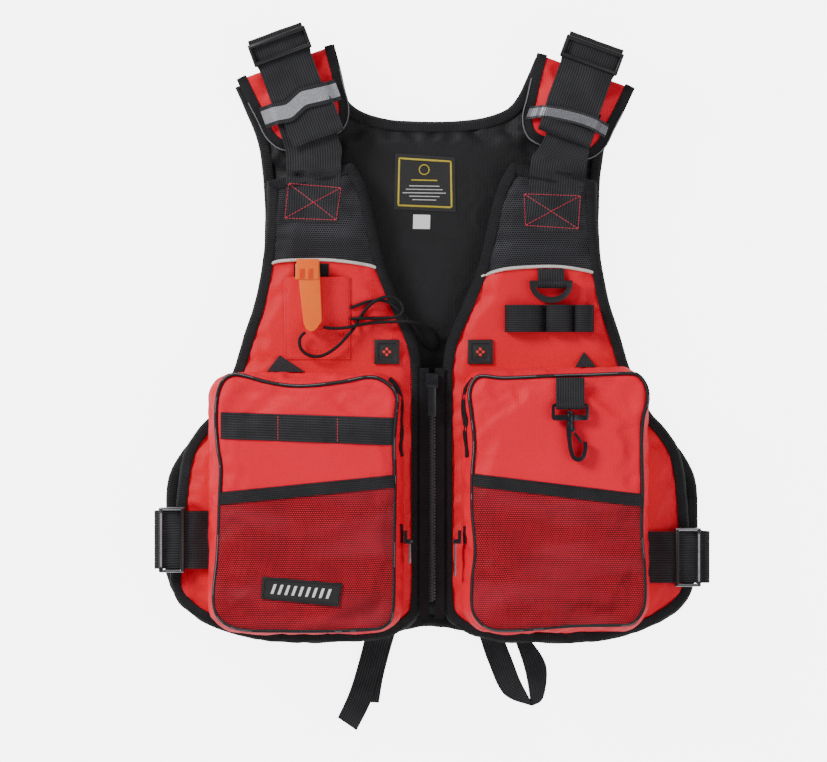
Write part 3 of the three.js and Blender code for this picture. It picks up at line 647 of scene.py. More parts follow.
def net_cloth(name, hole, hole_shade, thread, crest_highlight_colour, pitch, wire):
    """Knitted net over cloth: black threads round small holes that show the cloth below. The threads' colour
    carries a painted glint, lighter than their own black.
    """
    made, tree, shader = finish(name, 0.65, Sheen_Weight=0.02, Specular_IOR_Level=0.18)
    at = add(tree, "ShaderNodeTexCoord").outputs["Object"]
    drift = add(tree, "ShaderNodeTexNoise", {"Vector": at, "Scale": 14, "Detail": 2})
    bent = add(tree, "ShaderNodeVectorMath", {0: drift.outputs["Color"], 1: (0.006, 0.006, 0)},
               operation="MULTIPLY").outputs[0]
    place = add(tree, "ShaderNodeVectorMath", {0: at, 1: bent}, operation="ADD").outputs[0]
    scale = 0.25 / (pitch * 0.9)
    net = add(tree, "ShaderNodeTexBrick", {"Vector": place, "Scale": scale, "Mortar Size": wire,
                                           "Mortar Smooth": 0.35, "Brick Width": pitch * scale,
                                           "Row Height": 0.25}, offset=0.5)
    shade = add(tree, "ShaderNodeTexNoise", {"Vector": at, "Scale": 26, "Detail": 4, "Distortion": 0.8})
    below = blend_colours(tree, shade.outputs["Fac"], hole_shade, hole)
    # Long slack folds run slantwise across the net; the threads on their crests are painted lighter still, as
    # a highlight.
    turned = add(tree, "ShaderNodeMapping", {"Vector": at, "Rotation": (0, 0, math.radians(52)),
                                             "Scale": (9, 34, 1)}).outputs["Vector"]
    slack = add(tree, "ShaderNodeTexNoise", {"Vector": turned, "Scale": 1, "Detail": 2}).outputs["Fac"]
    crest_highlight_mask = add(tree, "ShaderNodeMapRange", {"Value": slack, "From Min": 0.46, "From Max": 0.66}).outputs[0]
    # Painted highlight: the thread colour blends to the lighter crest colour along the fold crests.
    cord = blend_colours(tree, crest_highlight_mask, thread, crest_highlight_colour)
    height = sew(tree, "ADD", net.outputs["Fac"], sew(tree, "MULTIPLY", slack, 3.0))
    surface(tree, shader, blend_colours(tree, net.outputs["Fac"], below, cord), height, 0.5 * MM)
    return made


red_nylon = plain_nylon("coated_red_oxford_nylon", "#D6001C", "#FA002C", 0.5, 0.0)
black_net = net_cloth("black_knitted_net", "#060607", "#0B0B0C", "#3E3E43", "#54545A",
                      NET_PITCH, NET_THREAD)
piping_cloth = ribbed_tape("off_white_piping", "#D8D3CC", "#F8F5F0", 1.6 * MM, True, 0.7)
panels, front_skins, yoke_skins, edge_skins = {}, {}, {}, {}
for side, sign in SIDES.items():
    body = f"{side}_front"
    rim = rim_of(f"{side}_front_binding")
    front = panel(f"{side}_front_panel", rim, FRONT_LOW, FRONT_HIGH, 5 * MM, 5.3 + sign)
    front.data.materials.append(red_nylon)
    front.data.materials.append(satin)
    for face in front.data.polygons:
        face.material_index = 0 if face.center.z > FRONT_MIDDLE else 1
    dress(front, None, body,
          [f"{side}_front_lining", f"{side}_front_foam", f"{side}_front_shell"])
    panels[side] = front
    to_edge = dense_tree(rim)
    seam = height_on(YOKE_SEAM[side])
    yoke = cut_patch(f"{side}_yoke_net", front, lambda x, y: to_edge(x, y) > 3 * MM, seam, True,
                     0.25 * MM, 0.7 * MM)
    inside = [p for p in rim if p.y > seam(p.x)]
    inside += [Vector((x * MM, y * MM)) for x, y in YOKE_SEAM[side][1:-1]]
    dress(yoke, black_net, body, [f"{side}_net_yoke"])
    front_skins[side] = skin_of(front)
    yoke_skins[side] = skin_of(yoke)
    tape = swept_tape(f"{side}_front_edge_tape", rim, FRONT_MIDDLE, folded_tape(TAPE_HALF), 3 * MM,
                      2.9 + sign)
    dress(tape, binding_tape, body, [f"{side}_front_binding"])
    edge_skins[side] = skin_of(tape)
    line = smooth_path([(x, y) for x, y in YOKE_SEAM[side]], 2)
    line = [p * MM for p in line if to_edge(p[0] * MM, p[1] * MM) > 6 * MM
            and top_of([front_skins[side]], p[0] * MM, p[1] * MM) > 0]
    path = [(p[0], p[1], top_of([front_skins[side], yoke_skins[side]], p[0], p[1]) + 0.5 * MM) for p in line]
    dress(tube(f"{side}_yoke_piping", path, PIPING, 8), piping_cloth, body)

# ---------- pockets ----------
# A large bellows pocket of the same red nylon on each front. Its side walls lean in to a padded face,
# whose edge is a black piping with a thin silver line painted as a glint. The pocket is sewn down round its
# foot.
FACE_EDGE = {
    "right": [(-184, 3.5), (-174.8, 3.5), (-146.7, -3.8), (-118.7, -6.6), (-83.7, -2.9), (-57, 1.7),
              (-41.4, -3.8), (-32.2, -15.8), (-33.1, -35.1), (-35, -61.8), (-34, -88.5), (-35, -158.4),
              (-35.9, -211.8), (-43.2, -225.6), (-57, -229), (-96, -230.5), (-136.2, -230.5),
              (-171.1, -229.5), (-189.1, -223.6), (-197.8, -213.1), (-199.6, -194.3), (-196, -158.4),
              (-194.1, -106), (-193.2, -81.1), (-196, -61.8), (-197.8, -35.1), (-196, -14), (-191.4, -2)],
    "left": [(45.1, 2.6), (66.2, 0.8), (107.6, 2.6), (141.7, 3.5), (179.4, 4.9), (189.5, 2.6),
             (196.5, -8.4), (197, -21.3), (193.2, -35.1), (191.4, -58.1), (192.3, -103.2), (191.4, -139.1),
             (194.1, -175), (194.1, -205.3), (187.7, -219.1), (177.6, -224.6), (132.5, -225.6),
             (96.6, -228.3), (73.6, -230), (55.2, -229), (43.2, -221.8), (36.8, -209), (36.8, -184.2),
             (39.6, -156.6), (36.8, -120.7), (36.8, -85.7), (38.6, -58.1), (35.9, -31.4), (34, -14),
             (37.7, -2)],
}
FACE_HEIGHT = 83.5 * MM
FACE_CROWN = 3.2 * MM
POCKET_FOOT = 44 * MM
FOOT_CORNER = 26 * MM
WALL = ((0, POCKET_FOOT), (0, 50 * MM), (0.12, 60 * MM), (0.45, 73 * MM), (0.85, 81 * MM), (1, FACE_HEIGHT))
pockets, pocket_skins, face_lines = {}, {}, {}


def round_box(x0, y0, x1, y1, radius, step):
    """A rounded rectangle, counter-clockwise."""
    line = []
    for cx, cy, start in ((x1 - radius, y1 - radius, 0), (x0 + radius, y1 - radius, 90),
                          (x0 + radius, y0 + radius, 180), (x1 - radius, y0 + radius, 270)):
        for k in range(9):
            a = math.radians(start + 90 * k / 8)
            line.append((cx + radius * math.cos(a), cy + radius * math.sin(a)))
    return evenly(line, step, True)


def by_angle(points, centre, count):
    """Points of a closed line at evenly spread angles round a centre."""
    line = evenly([tuple(p) for p in points], 0.8 * MM, True)
    angles = np.arctan2(line[:, 1] - centre[1], line[:, 0] - centre[0])
    order = np.argsort(angles)
    angles, line = angles[order], line[order]
    at = np.linspace(-math.pi, math.pi, count, endpoint=False)
    return np.stack([np.interp(at, angles, line[:, k], period=2 * math.pi) for k in range(2)], axis=1)


def inside_line(points):
    """A test for a point inside a closed line."""
    line = np.array([tuple(p)[:2] for p in points])
    nxt = np.roll(line, -1, axis=0)

    def test(x, y):
        crosses = (line[:, 1] > y) != (nxt[:, 1] > y)
        with np.errstate(divide="ignore", invalid="ignore"):
            at = line[:, 0] + (y - line[:, 1]) / (nxt[:, 1] - line[:, 1]) * (nxt[:, 0] - line[:, 0])
        return bool(np.count_nonzero(crosses & (x < at)) % 2)

    return test


# The pockets use a copy of the fronts' red nylon painted lighter, as light falling on their raised faces.
pocket_nylon_painted_lighter = plain_nylon("red_oxford_nylon_painted_lighter", "#E60024", "#FF0032", 0.5, 0.02)
for side, sign in SIDES.items():
    face_line = smooth_path([(x * MM, y * MM) for x, y in FACE_EDGE[side]], 2 * MM, True)
    twice = sum(a[0] * b[1] - b[0] * a[1] for a, b in zip(face_line, np.roll(face_line, -1, axis=0)))
    if twice < 0:
        face_line = face_line[::-1]
    face_lines[side] = face_line
    lo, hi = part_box(f"{side}_pocket")
    foot = round_box(lo.x, lo.y, hi.x, hi.y, FOOT_CORNER, 3 * MM)
    centre = ((lo.x + hi.x) / 2, (lo.y + hi.y) / 2)
    count = 260
    foot_ring, face_ring = by_angle(foot, centre, count), by_angle(face_line, centre, count)
    verts, faces = [], []
    for share, z in WALL:
        ring = foot_ring * (1 - share) + face_ring * share
        verts += [(p[0], p[1], z) for p in ring]
    for r in range(len(WALL) - 1):
        for k in range(count):
            m = (k + 1) % count
            faces.append((r * count + k, r * count + m, (r + 1) * count + m, (r + 1) * count + k))
    faces += [tuple(reversed(range(count))), tuple(range(5 * count, 6 * count))]
    pocket = new_piece(f"{side}_pocket_bag", verts, faces)
    remesh(pocket, 4.5 * MM)
    to_face = dense_tree(face_line)
    in_face = inside_line(face_line)
    co = points_of(pocket)
    for p in co:
        if p[2] > FACE_HEIGHT - 4 * MM and in_face(p[0], p[1]):
            p[2] += FACE_CROWN * ease(to_face(p[0], p[1]) / (45 * MM))
    set_points(pocket, co)
    inflate(pocket, 2.5, 3 * MM, lambda x, y, z: 1.0 if z < 52 * MM or (
        z > 78 * MM and to_face(x, y) < 4 * MM) else 0.0)
    co = points_of(pocket)
    for p in co:
        d = to_face(p[0], p[1])
        if p[2] > 76 * MM and in_face(p[0], p[1]):
            wrinkle = folds(p[0], p[1], 30 * MM, -48 * sign, 11 + sign)
            wrinkle += 0.6 * folds(p[0], p[1], 17 * MM, 35 * sign, 14 + sign)
            p[2] += 2.7 * MM * wrinkle * ease(d / (20 * MM)) - 1.2 * MM * ease(d / (20 * MM))
            pucker = noise.noise(Vector((p[0] * 70, p[1] * 70, 3.0)))
            p[2] += 0.7 * MM * pucker * ease((22 * MM - d) / (16 * MM))
            p[2] = min(p[2], 87.4 * MM)
        elif p[2] > 50 * MM:
            wave = noise.noise(Vector((p[0] * 45, p[1] * 45, p[2] * 60 + sign)))
            out = Vector((p[0] - centre[0], p[1] - centre[1])).normalized()
            p[0] += out.x * 1.3 * MM * wave
            p[1] += out.y * 1.3 * MM * wave
        p[0] = min(max(p[0], lo.x - 1 * MM), hi.x + 1 * MM)
    set_points(pocket, co)
    smooth(pocket, 80)
    dress(pocket, pocket_nylon_painted_lighter, f"{side}_front", [f"{side}_pocket"])
    pockets[side] = pocket
    pocket_skins[side] = skin_of(pocket)


def striped_piping():
    """Black satin-covered piping with a narrow silver line along its crown, painted as a glint and broken by
    a noise into stretches.
    """
    made, tree, shader = finish("black_piping_with_painted_glint", 0.42, Specular_IOR_Level=0.3)
    uv = add(tree, "ShaderNodeUVMap", uv_map="UVMap").outputs["UV"]
    parts = add(tree, "ShaderNodeSeparateXYZ", {0: uv})
    ribs = two_waves(tree, uv, 3 * MM, 1.2 * MM)[1]
    near = sew(tree, "COMPARE", parts.outputs[0], PIPE_LINE)
    near.node.inputs[2].default_value = 0.22 * MM
    at = add(tree, "ShaderNodeTexCoord").outputs["Object"]
    # Painted glint: the silver line shows only in stretches picked out by this noise. The ribs of the black
    # cover are also painted lighter on their tops.
    glint_breaks = add(tree, "ShaderNodeTexNoise", {"Vector": at, "Scale": 30, "Detail": 2}).outputs["Fac"]
    line = sew(tree, "MULTIPLY", near, sew(tree, "GREATER_THAN", glint_breaks, 0.53))
    base = blend_colours(tree, ribs, "#0C0C0D", "#262628")
    surface(tree, shader, blend_colours(tree, line, base, "#7E7E82"), ribs, 0.2 * MM)
    return made


PIPE = 1.7 * MM
PIPE_LINE = 2 * math.pi * PIPE * 0.06
pocket_piping = striped_piping()
for side in SIDES:
    body = f"{side}_front"
    line = evenly([tuple(p) for p in face_lines[side]], 3 * MM, True)
    heights = []
    for p in line:
        hit = pocket_skins[side].find_nearest(Vector((p[0], p[1], FACE_HEIGHT)))[0]
        heights.append(max(hit.z, FACE_HEIGHT - 2 * MM) + 0.7 * MM)
    heights = [(heights[i - 1] + h + heights[(i + 1) % len(heights)]) / 3 for i, h in enumerate(heights)]
    piping = tube(f"{side}_pocket_piping", [(p[0], p[1], h) for p, h in zip(line, heights)], PIPE, 12, True)
    dress(piping, pocket_piping, body)

# ---------- net pockets ----------
# Black knitted net over the lower half of each pocket face, caught in the piping, with a slanting
# hem of black tape. The red cloth shows through its holes.
HEM = {"right": [(-200, -105.5), (-30, -88.7)], "left": [(30, -87), (200, -107.6)]}
HEM_WIDTH = 11 * MM
red_net = net_cloth("black_net_over_red_nylon", "#EE1A34", "#A80C20", "#1A090C", "#5C2A34",
                    NET_PITCH, NET_THREAD)
webbing = ribbed_tape("ribbed_nylon_webbing", "#121214", "#47474C", 2.3 * MM, False, 0.6)
hem_tape = ribbed_tape("hem_tape", "#101012", "#3A3A3E", 1.7 * MM, False, 0.6)


def cloth_strip(name, rows, thick, offset=1):
    """A strip of cloth or webbing through rows of points, thickened, with its UV map in metres."""
    grid = np.array([[tuple(p) for p in row] for row in rows], float)
    n, m = grid.shape[:2]
    across = np.zeros((n, m))
    across[:, 1:] = np.cumsum(np.linalg.norm(np.diff(grid, axis=1), axis=2), axis=1)
    along = np.concatenate([[0], np.cumsum(np.linalg.norm(np.diff(grid[:, m // 2], axis=0), axis=1))])
    faces, uvs = [], []
    for i in range(n - 1):
        for k in range(m - 1):
            faces.append((i * m + k, i * m + k + 1, (i + 1) * m + k + 1, (i + 1) * m + k))
            uvs += [(across[i, k], along[i]), (across[i, k + 1], along[i]),
                    (across[i + 1, k + 1], along[i + 1]), (across[i + 1, k], along[i + 1])]
    piece = new_piece(name, grid.reshape(-1, 3), faces, uvs)
    made = piece.modifiers.new("thick", "SOLIDIFY")
    made.thickness = thick
    made.offset = offset
    apply_modifiers(piece)
    smooth(piece, 35)
    return piece


def laid_rows(left, right, columns, step, height):
    """Rows of points between two edge lines in mm; height(x, y, across, along) gives each one's z."""
    left, right = (np.array([p[:2] for p in e], float) * MM for e in (left, right))
    long = max(np.linalg.norm(np.diff(left, axis=0), axis=1).sum(),
               np.linalg.norm(np.diff(right, axis=0), axis=1).sum())
    count = max(2, round(long / step) + 1)

    def spread(edge):
        gaps = np.concatenate([[0], np.cumsum(np.linalg.norm(np.diff(edge, axis=0), axis=1))])
        at = np.linspace(0, gaps[-1], count)
        return np.stack([np.interp(at, gaps, edge[:, k]) for k in range(2)], axis=1)

    a, b = spread(left), spread(right)
    rows = []
    for i in range(count):
        row = []
        for k in range(columns + 1):
            s = k / columns
            x, y = a[i] * (1 - s) + b[i] * s
            row.append((x, y, height(x, y, s, i / (count - 1))))
        rows.append(row)
    return rows


net_skins = {}
for side in SIDES:
    body = f"{side}_front"
    in_face, to_face = inside_line(face_lines[side]), dense_tree(face_lines[side])
    seam = height_on(HEM[side])
    net = cut_patch(f"{side}_net_pocket_cloth", pockets[side],
                    lambda x, y: in_face(x, y) and to_face(x, y) > 0.6 * MM, seam, False, 0.7 * MM, 0.8 * MM)
    lo = points_of(net).min(axis=0)
    hi = points_of(net).max(axis=0)
    dress(net, red_net, body, [f"{side}_net_pocket"])
    net_skins[side] = skin_of(net)
    ends = [x for x in np.arange(HEM[side][0][0], HEM[side][1][0], 0.5) if in_face(x * MM, seam(x * MM))]
    x0, x1 = ends[0] + 0.6, ends[-1] - 0.6
    top = [(x, seam(x * MM) / MM + 0.8) for x in np.linspace(x0, x1, 40)]
    bottom = [(x, y - HEM_WIDTH / MM) for x, y in top]
    below = [pocket_skins[side], net_skins[side]]
    rows = laid_rows(bottom[::-1], top[::-1], 6, 3 * MM, lambda x, y, s, t: top_of(below, x, y) + 0.2 * MM)
    hem = cloth_strip(f"{side}_net_hem", rows, 0.9 * MM)
    dress(hem, hem_tape, body)

# ---------- chest webbing ----------
# 50 mm ribbed nylon webbing, sewn to the yoke with a red box-and-cross stitch. It climbs over the
# shoulder pad to the buckle, and bends where the front meets the back.
WEB_THICK = 1.6 * MM
STITCH = {"right": [(-131.9, 180), (-83.9, 175.9), (-88.1, 146.1), (-135.4, 148.0)],
          "left": [(84.8, 170.2), (136.6, 168.5), (134.6, 138.0), (86.0, 141.2)]}
CHEST = {
    "right": ([(-136.4, 144.5), (-134.5, 185), (-134.3, 201), (-136, 214), (-144, 240), (-147, 249)],
              [(-87.0, 144.0), (-84.0, 185), (-83.7, 201), (-84, 216), (-96, 246), (-103, 261)]),
    "left": ([(84.4, 136.0), (87.8, 165), (91.5, 203), (98, 212), (110, 236), (117, 252)],
             [(134.4, 134.5), (138.5, 165), (143.5, 203), (147, 218), (153, 234), (156, 243)]),
}
PAD_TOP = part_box("right_shoulder_pad")[1].z
SHOULDER_SEAM = 201 * MM
STITCH_SHARE = 0.84       # how much of its pitch a stitch covers
THREAD_THICK = 0.3 * MM
THREAD_TWIST = 0.9 * MM


def bar_faces(base):
    """The faces of a bar with four sections of four corners each, from its first corner's number."""
    faces = []
    for r in range(base, base + 12, 4):
        faces += [(r + k, r + (k + 1) % 4, r + 4 + (k + 1) % 4, r + 4 + k) for k in range(4)]
    return faces + [(base + 3, base + 2, base + 1, base), (base + 12, base + 13, base + 14, base + 15)]


def stitch_row(points, skins, thread, pitch=3.2 * MM, lift=0.25 * MM):
    """Small stitches along a line in mm, laid on what is below: the corners and faces for one mesh."""
    line = evenly([tuple(np.array(p[:2]) * MM) for p in points], pitch)
    for a, b in zip(line, line[1:]):
        gap = (b - a) * (1 - STITCH_SHARE) / 2
        ends = [np.append(q, 0) for q in (a + gap, b - gap)]
        for e in ends:
            e[2] = top_of(skins, e[0], e[1]) + lift
        way = (ends[1] - ends[0]) / max(np.linalg.norm(ends[1] - ends[0]), 1e-9)
        side_way = np.array([-way[1], way[0], 0])
        base = len(thread[0])
        for t, width in ((0, 0.4), (0.25, 1), (0.75, 1), (1, 0.4)):
            q = ends[0] * (1 - t) + ends[1] * t
            for dx, dz in ((-1, -0.6), (-0.6, 0.8), (0.6, 0.8), (1, -0.6)):
                up = np.array([0, 0, dz * THREAD_THICK * width])
                thread[0].append(tuple(q + side_way * dx * THREAD_THICK * width + up))
        thread[1].extend(bar_faces(base))


def thread_finish(name, low, high):
    """Bonded polyester sewing thread: twisted, slightly shiny."""
    made, tree, shader = finish(name, 0.5, Sheen_Weight=0.2)
    at = add(tree, "ShaderNodeTexCoord").outputs["Object"]
    twist = add(tree, "ShaderNodeTexWave",
                {"Vector": at, "Scale": RIDGE_SCALE / THREAD_TWIST, "Distortion": 1.5},
                bands_direction="DIAGONAL").outputs["Fac"]
    # Painted highlight: the ridges of the twist are coloured lighter than the grooves between them.
    surface(tree, shader, blend_colours(tree, twist, low, high), twist, 0.1 * MM)
    return made


red_thread = thread_finish("red_sewing_thread", "#C41032", "#F03A5C")
grey_thread = thread_finish("grey_sewing_thread", "#4C4C50", "#8A8A90")
for side in SIDES:
    left, right = CHEST[side]

    def on_chest(x, y, s, t):
        """On the yoke up to its end, then rising on to the pad."""
        below = [front_skins[side], yoke_skins[side], edge_skins[side]]
        low = top_of(below, x, y, FRONT_HIGH - 4 * MM) + 0.4 * MM
        if y > SHOULDER_SEAM - 12 * MM:
            rise = ease((y - SHOULDER_SEAM + 12 * MM) / (26 * MM))
            low = max(low, (FRONT_HIGH - 2 * MM) * (1 - rise) + (PAD_TOP + 1.2 * MM) * rise)
        return low

    strap = cloth_strip(f"{side}_chest_strap",
                        laid_rows(smooth_path(left, 4), smooth_path(right, 4), 10, 4 * MM, on_chest)[::-1],
                        WEB_THICK)
    strap.data.materials.append(webbing)
    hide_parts(f"{side}_chest_webbing")
    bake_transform(strap)
    a, b, c, d = STITCH[side]
    thread = ([], [])
    chest_skin = [skin_of(strap), yoke_skins[side], edge_skins[side]]
    for ends in ((a, b), (b, c), (c, d), (d, a), (a, c), (b, d)):
        stitch_row(ends, chest_skin, thread)
    stitches = new_piece(f"{side}_chest_stitching", *thread)
    smooth(stitches, 60)
    dress(stitches, red_thread, f"{side}_front")

# ---------- shoulder pads ----------
# Foam pads in red nylon that lie on the back's shoulders. Black tape binds the sides and the rounded
# lower edge, with a fine grey thread along it; the top edge is cut straight.
SHOULDER = {"right": ((-122, 256), 20), "left": ((129, 248), -20)}
PAD_SIDE = [(-47, 39), (-44.8, 14), (-42.5, -3), (-40.6, -20), (-34, -33), (-23, -39.5), (0, -40.5)]
PAD_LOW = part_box("right_shoulder_pad")[0].z
PAD_MIDDLE = (PAD_LOW + PAD_TOP) / 2
PAD_TAPE = 8.6 * MM


def on_shoulder(side):
    """Turns a shoulder's own (x, y, z), in mm, into its place on the jacket."""
    (cx, cy), tilt = SHOULDER[side]
    c, s = math.cos(math.radians(tilt)), math.sin(math.radians(tilt))
    return lambda x, y, z: ((cx + x * c - y * s) * MM, (cy + x * s + y * c) * MM, z * MM)


for side in SIDES:
    place = on_shoulder(side)
    under = smooth_path(PAD_SIDE, 2)
    bound = [tuple(p) for p in under] + [(-x, y) for x, y in under[::-1][1:]]
    rim = [Vector(place(x, y, 0)[:2]) for x, y in bound]
    top_edge = [Vector(place(x, 39, 0)[:2]) for x in np.linspace(45, -45, 30)]
    to_edge = dense_tree(rim, closed=False)
    to_any = dense_tree(rim + top_edge)
    pad = prism(f"{side}_shoulder_cushion", offset_line(rim + top_edge, -1 * MM), PAD_LOW, PAD_TOP)
    remesh(pad, 4 * MM)
    half = (PAD_TOP - PAD_LOW) / 2
    co = points_of(pad)
    for p in co:
        at = 4.5 * MM + (half - 6 * MM) * ease(to_any(p[0], p[1]) / (24 * MM))
        p[2] = PAD_MIDDLE + (p[2] - PAD_MIDDLE) * at / half
    set_points(pad, co)
    inflate(pad, 4.0, 4 * MM, lambda x, y, z: 1.0 if to_any(x, y) < 5 * MM else 0.0)
    co = points_of(pad)
    co[:, 2] = np.clip(co[:, 2], PAD_LOW, PAD_TOP)
    set_points(pad, co)
    smooth(pad, 75)
    dress(pad, red_nylon, "back", [f"{side}_shoulder_pad"])
    skin = skin_of(pad)
    line = evenly([tuple(p) for p in rim], 3 * MM)
    rows = []
    for i in range(len(line)):
        a, b = Vector(line[max(i - 2, 0)]), Vector(line[min(i + 2, len(line) - 1)])
        d = (b - a).normalized()
        way = Vector((-d.y, d.x))
        row = []
        for inward in (PAD_TAPE, PAD_TAPE * 0.6, 2 * MM):
            p = Vector(line[i]) + way * inward
            z = top_of([skin], p.x, p.y, PAD_MIDDLE + 5 * MM)
            row.append((p.x, p.y, max(z, PAD_MIDDLE + 3.6 * MM) + 0.3 * MM))
        edge = Vector(line[i]) - way * 0.6 * MM
        row += [(edge.x, edge.y, PAD_MIDDLE + 2.6 * MM), (edge.x, edge.y, PAD_MIDDLE - 2.6 * MM)]
        row += [(x, y, 2 * PAD_MIDDLE - z) for x, y, z in row[2::-1]]
        rows.append(row)
    tape = cloth_strip(f"{side}_pad_tape", rows, 0.9 * MM, 0)
    dress(tape, binding_tape, "back")
    corner = [p for p in line if (Vector(p) - Vector(place(0, 39, 0)[:2])).length > 50 * MM]
    path = [(p[0], p[1], PAD_MIDDLE + 4.2 * MM) for p in smooth_path(corner, 2 * MM)]
    dress(tube(f"{side}_pad_edge_thread", path, 0.7 * MM, 6), grey_thread, "back")

# ---------- shoulder webbing, reflective bands and buckles ----------
# The strap's free end comes back over the pad from the moulded ladder-lock buckle, and passes under
# a sewn band that carries a silver reflective tape between black borders.
SHOULDER_PATH = {
    "right": [(-39, 50.4), (-36, 51.2), (-20, 50.9), (10, 50.9), (40, 50.6), (64, 50.7), (67.2, 49.9),
              (64, 48.7), (40, 48.6), (-20, 48.5), (-36, 48.4)],
    "left": [(-13, 51.5), (-18, 54.8), (-24, 54.6), (-27.5, 51), (-26, 47.4), (-21, 46.6), (-14, 48.6),
             (0, 50.6), (10, 50.9), (40, 50.6), (64, 50.7), (67.2, 49.9), (64, 48.7), (40, 48.6), (0, 48.5),
             (-8, 48.4)],
}
TAIL_SHIFT = {"right": 4.4, "left": 1.5}
BAND_PATH = [(-37, 44.4), (-31, 45.2), (-27.6, 49.2), (-24.5, 52.4), (-12, 53.0), (12, 53.0), (24.5, 52.4),
             (27.6, 49.2), (31, 45.2), (37, 44.4)]


def softened(name, node, width, material, body, segments=2, grow=0.0):
    """A copy of a part, grown if asked, with its loose triangles joined and its edges rounded over."""
    work = bmesh.new()
    work.from_mesh(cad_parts[node].data)
    bmesh.ops.remove_doubles(work, verts=work.verts, dist=2e-6)
    bmesh.ops.dissolve_limit(work, angle_limit=math.radians(1), verts=work.verts, edges=work.edges)
    work.normal_update()
    for v in work.verts:
        v.co += v.normal * v.calc_shell_factor() * grow
    piece = kept_mesh(name, work)
    made = piece.modifiers.new("round", "BEVEL")
    made.width = width
    made.segments = segments
    made.limit_method = "ANGLE"
    made.angle_limit = math.radians(32)
    made.use_clamp_overlap = True
    apply_modifiers(piece)
    smooth(piece, 38)
    return dress(piece, material, body, [node])


def moulded_plastic(name, low, high, roughness, grain, **sockets):
    """Injection-moulded plastic: one colour with a fine spark-eroded grain and faint flow marks."""
    made, tree, shader = finish(name, roughness, **sockets)
    at = add(tree, "ShaderNodeTexCoord").outputs["Object"]
    grit = add(tree, "ShaderNodeTexNoise", {"Vector": at, "Scale": 1 / grain, "Detail": 3}).outputs["Fac"]
    flow = add(tree, "ShaderNodeTexNoise", {"Vector": at, "Scale": 60, "Detail": 2, "Distortion": 1})
    surface(tree, shader, blend_colours(tree, flow.outputs["Fac"], low, high), grit, 0.08 * MM)
    return made


def reflective_band(name, low, high):
    """Silver glass-bead tape between two borders of black webbing."""
    made, tree, shader = finish(name, 0.38, Specular_IOR_Level=0.3)
    uv = add(tree, "ShaderNodeUVMap", uv_map="UVMap").outputs["UV"]
    across = add(tree, "ShaderNodeSeparateXYZ", {0: uv}).outputs[0]
    beads = add(tree, "ShaderNodeTexVoronoi", {"Vector": uv, "Scale": 900}).outputs["Distance"]
    ribs = two_waves(tree, uv, 1.2 * MM, 1.8 * MM)[1]
    silver = sew(tree, "COMPARE", across, 10 * MM)
    silver.node.inputs[2].default_value = 6.4 * MM
    # Painted highlight: the rib tops of the black borders are coloured lighter than their hollows.
    border = blend_colours(tree, ribs, "#101012", "#3A3A3E")
    face = blend_colours(tree, beads, low, high)
    surface(tree, shader, blend_colours(tree, silver, border, face), ribs, 0.15 * MM)
    tree.links.new(sew(tree, "MULTIPLY", silver, 0.55), shader.inputs["Metallic"])
    return made


buckle_plastic = moulded_plastic("moulded_black_acetal", "#0E0E10", "#1E1E21", 0.36, 0.5 * MM)
# Both bands carry one tape, painted lighter on the right shoulder and darker on the left, as light and shade.
BANDS = {
    "right": (10, reflective_band("reflective_tape_painted_lit", "#8E8E94", "#C4C4CA"),
              [(-37, -3.4), (-26, -3.8), (-13, -5.8), (-4, -2.6), (4, 0.4), (13, -0.4), (26, -1.8),
               (37, -2.2)]),
    "left": (6.2, reflective_band("reflective_tape_painted_shaded", "#5A5A60", "#88888E"),
             [(-37, -16.5), (-34.5, -15.5), (-21, -10), (0, -6.6), (20, -5.5), (36, -7.7), (37, -8)]),
}
for side, sign in SIDES.items():
    place = on_shoulder(side)
    rows = []
    for y, z in smooth_path(SHOULDER_PATH[side], 2.5):
        slack = 1.2 if y < -5 else 0.3
        shift = TAIL_SHIFT[side] * ease((6 - y) / 20)
        fill = 1 + 0.045 * ease((y - 36) / 8)
        rows.append([place(x * fill + shift, y + slack * noise.noise(Vector((x / 14, y / 20, sign))),
                           z - 0.5 * (x / 25) ** 2) for x in np.linspace(-25, 25, 11)])
    strap = cloth_strip(f"{side}_shoulder_strap", rows, 1.5 * MM, 0)
    dress(strap, webbing, "back", [f"{side}_shoulder_webbing"])
    softened(f"{side}_shoulder_ladder_lock", f"{side}_shoulder_buckle", 0.7 * MM, buckle_plastic,
             f"{side}_shoulder_buckle")
    half, silver_tape, bow = BANDS[side]
    bow = smooth_path(bow, 1)
    rows = []
    for x, z in smooth_path(BAND_PATH, 2):
        middle = float(np.interp(x, bow[:, 0], bow[:, 1]))
        rows.append([place(x, middle + w, z) for w in np.linspace(-half, half, 9)])
    band = cloth_strip(f"{side}_shoulder_band", rows[::-1], 1.1 * MM, 0)
    for corner in band.data.uv_layers[0].data:
        corner.uv.x *= 10 / half
    dress(band, silver_tape, "back", [f"{side}_reflective_band"])

# ---------- whistle and its pocket ----------
# A flat moulded safety whistle clips into a small open-topped pocket of red nylon, sewn on three sides.
POCKET_X = (-136, -75.4)
POCKET_Y = (18, 93.7)
POCKET_SWELL = 5.2 * MM
skins = [front_skins["right"]]


def whistle_cloth(x, y, s, t):
    swell = math.sin(math.pi * min(max(s, 0), 1)) ** 0.55 * ease(1.25 * t) if 0 < s < 1 else 0
    return top_of(skins, x, y, FRONT_HIGH - 2 * MM) + 0.4 * MM + POCKET_SWELL * swell * 0.9 \
        + 0.5 * MM * noise.noise(Vector((x * 90, y * 60, 2.2)))


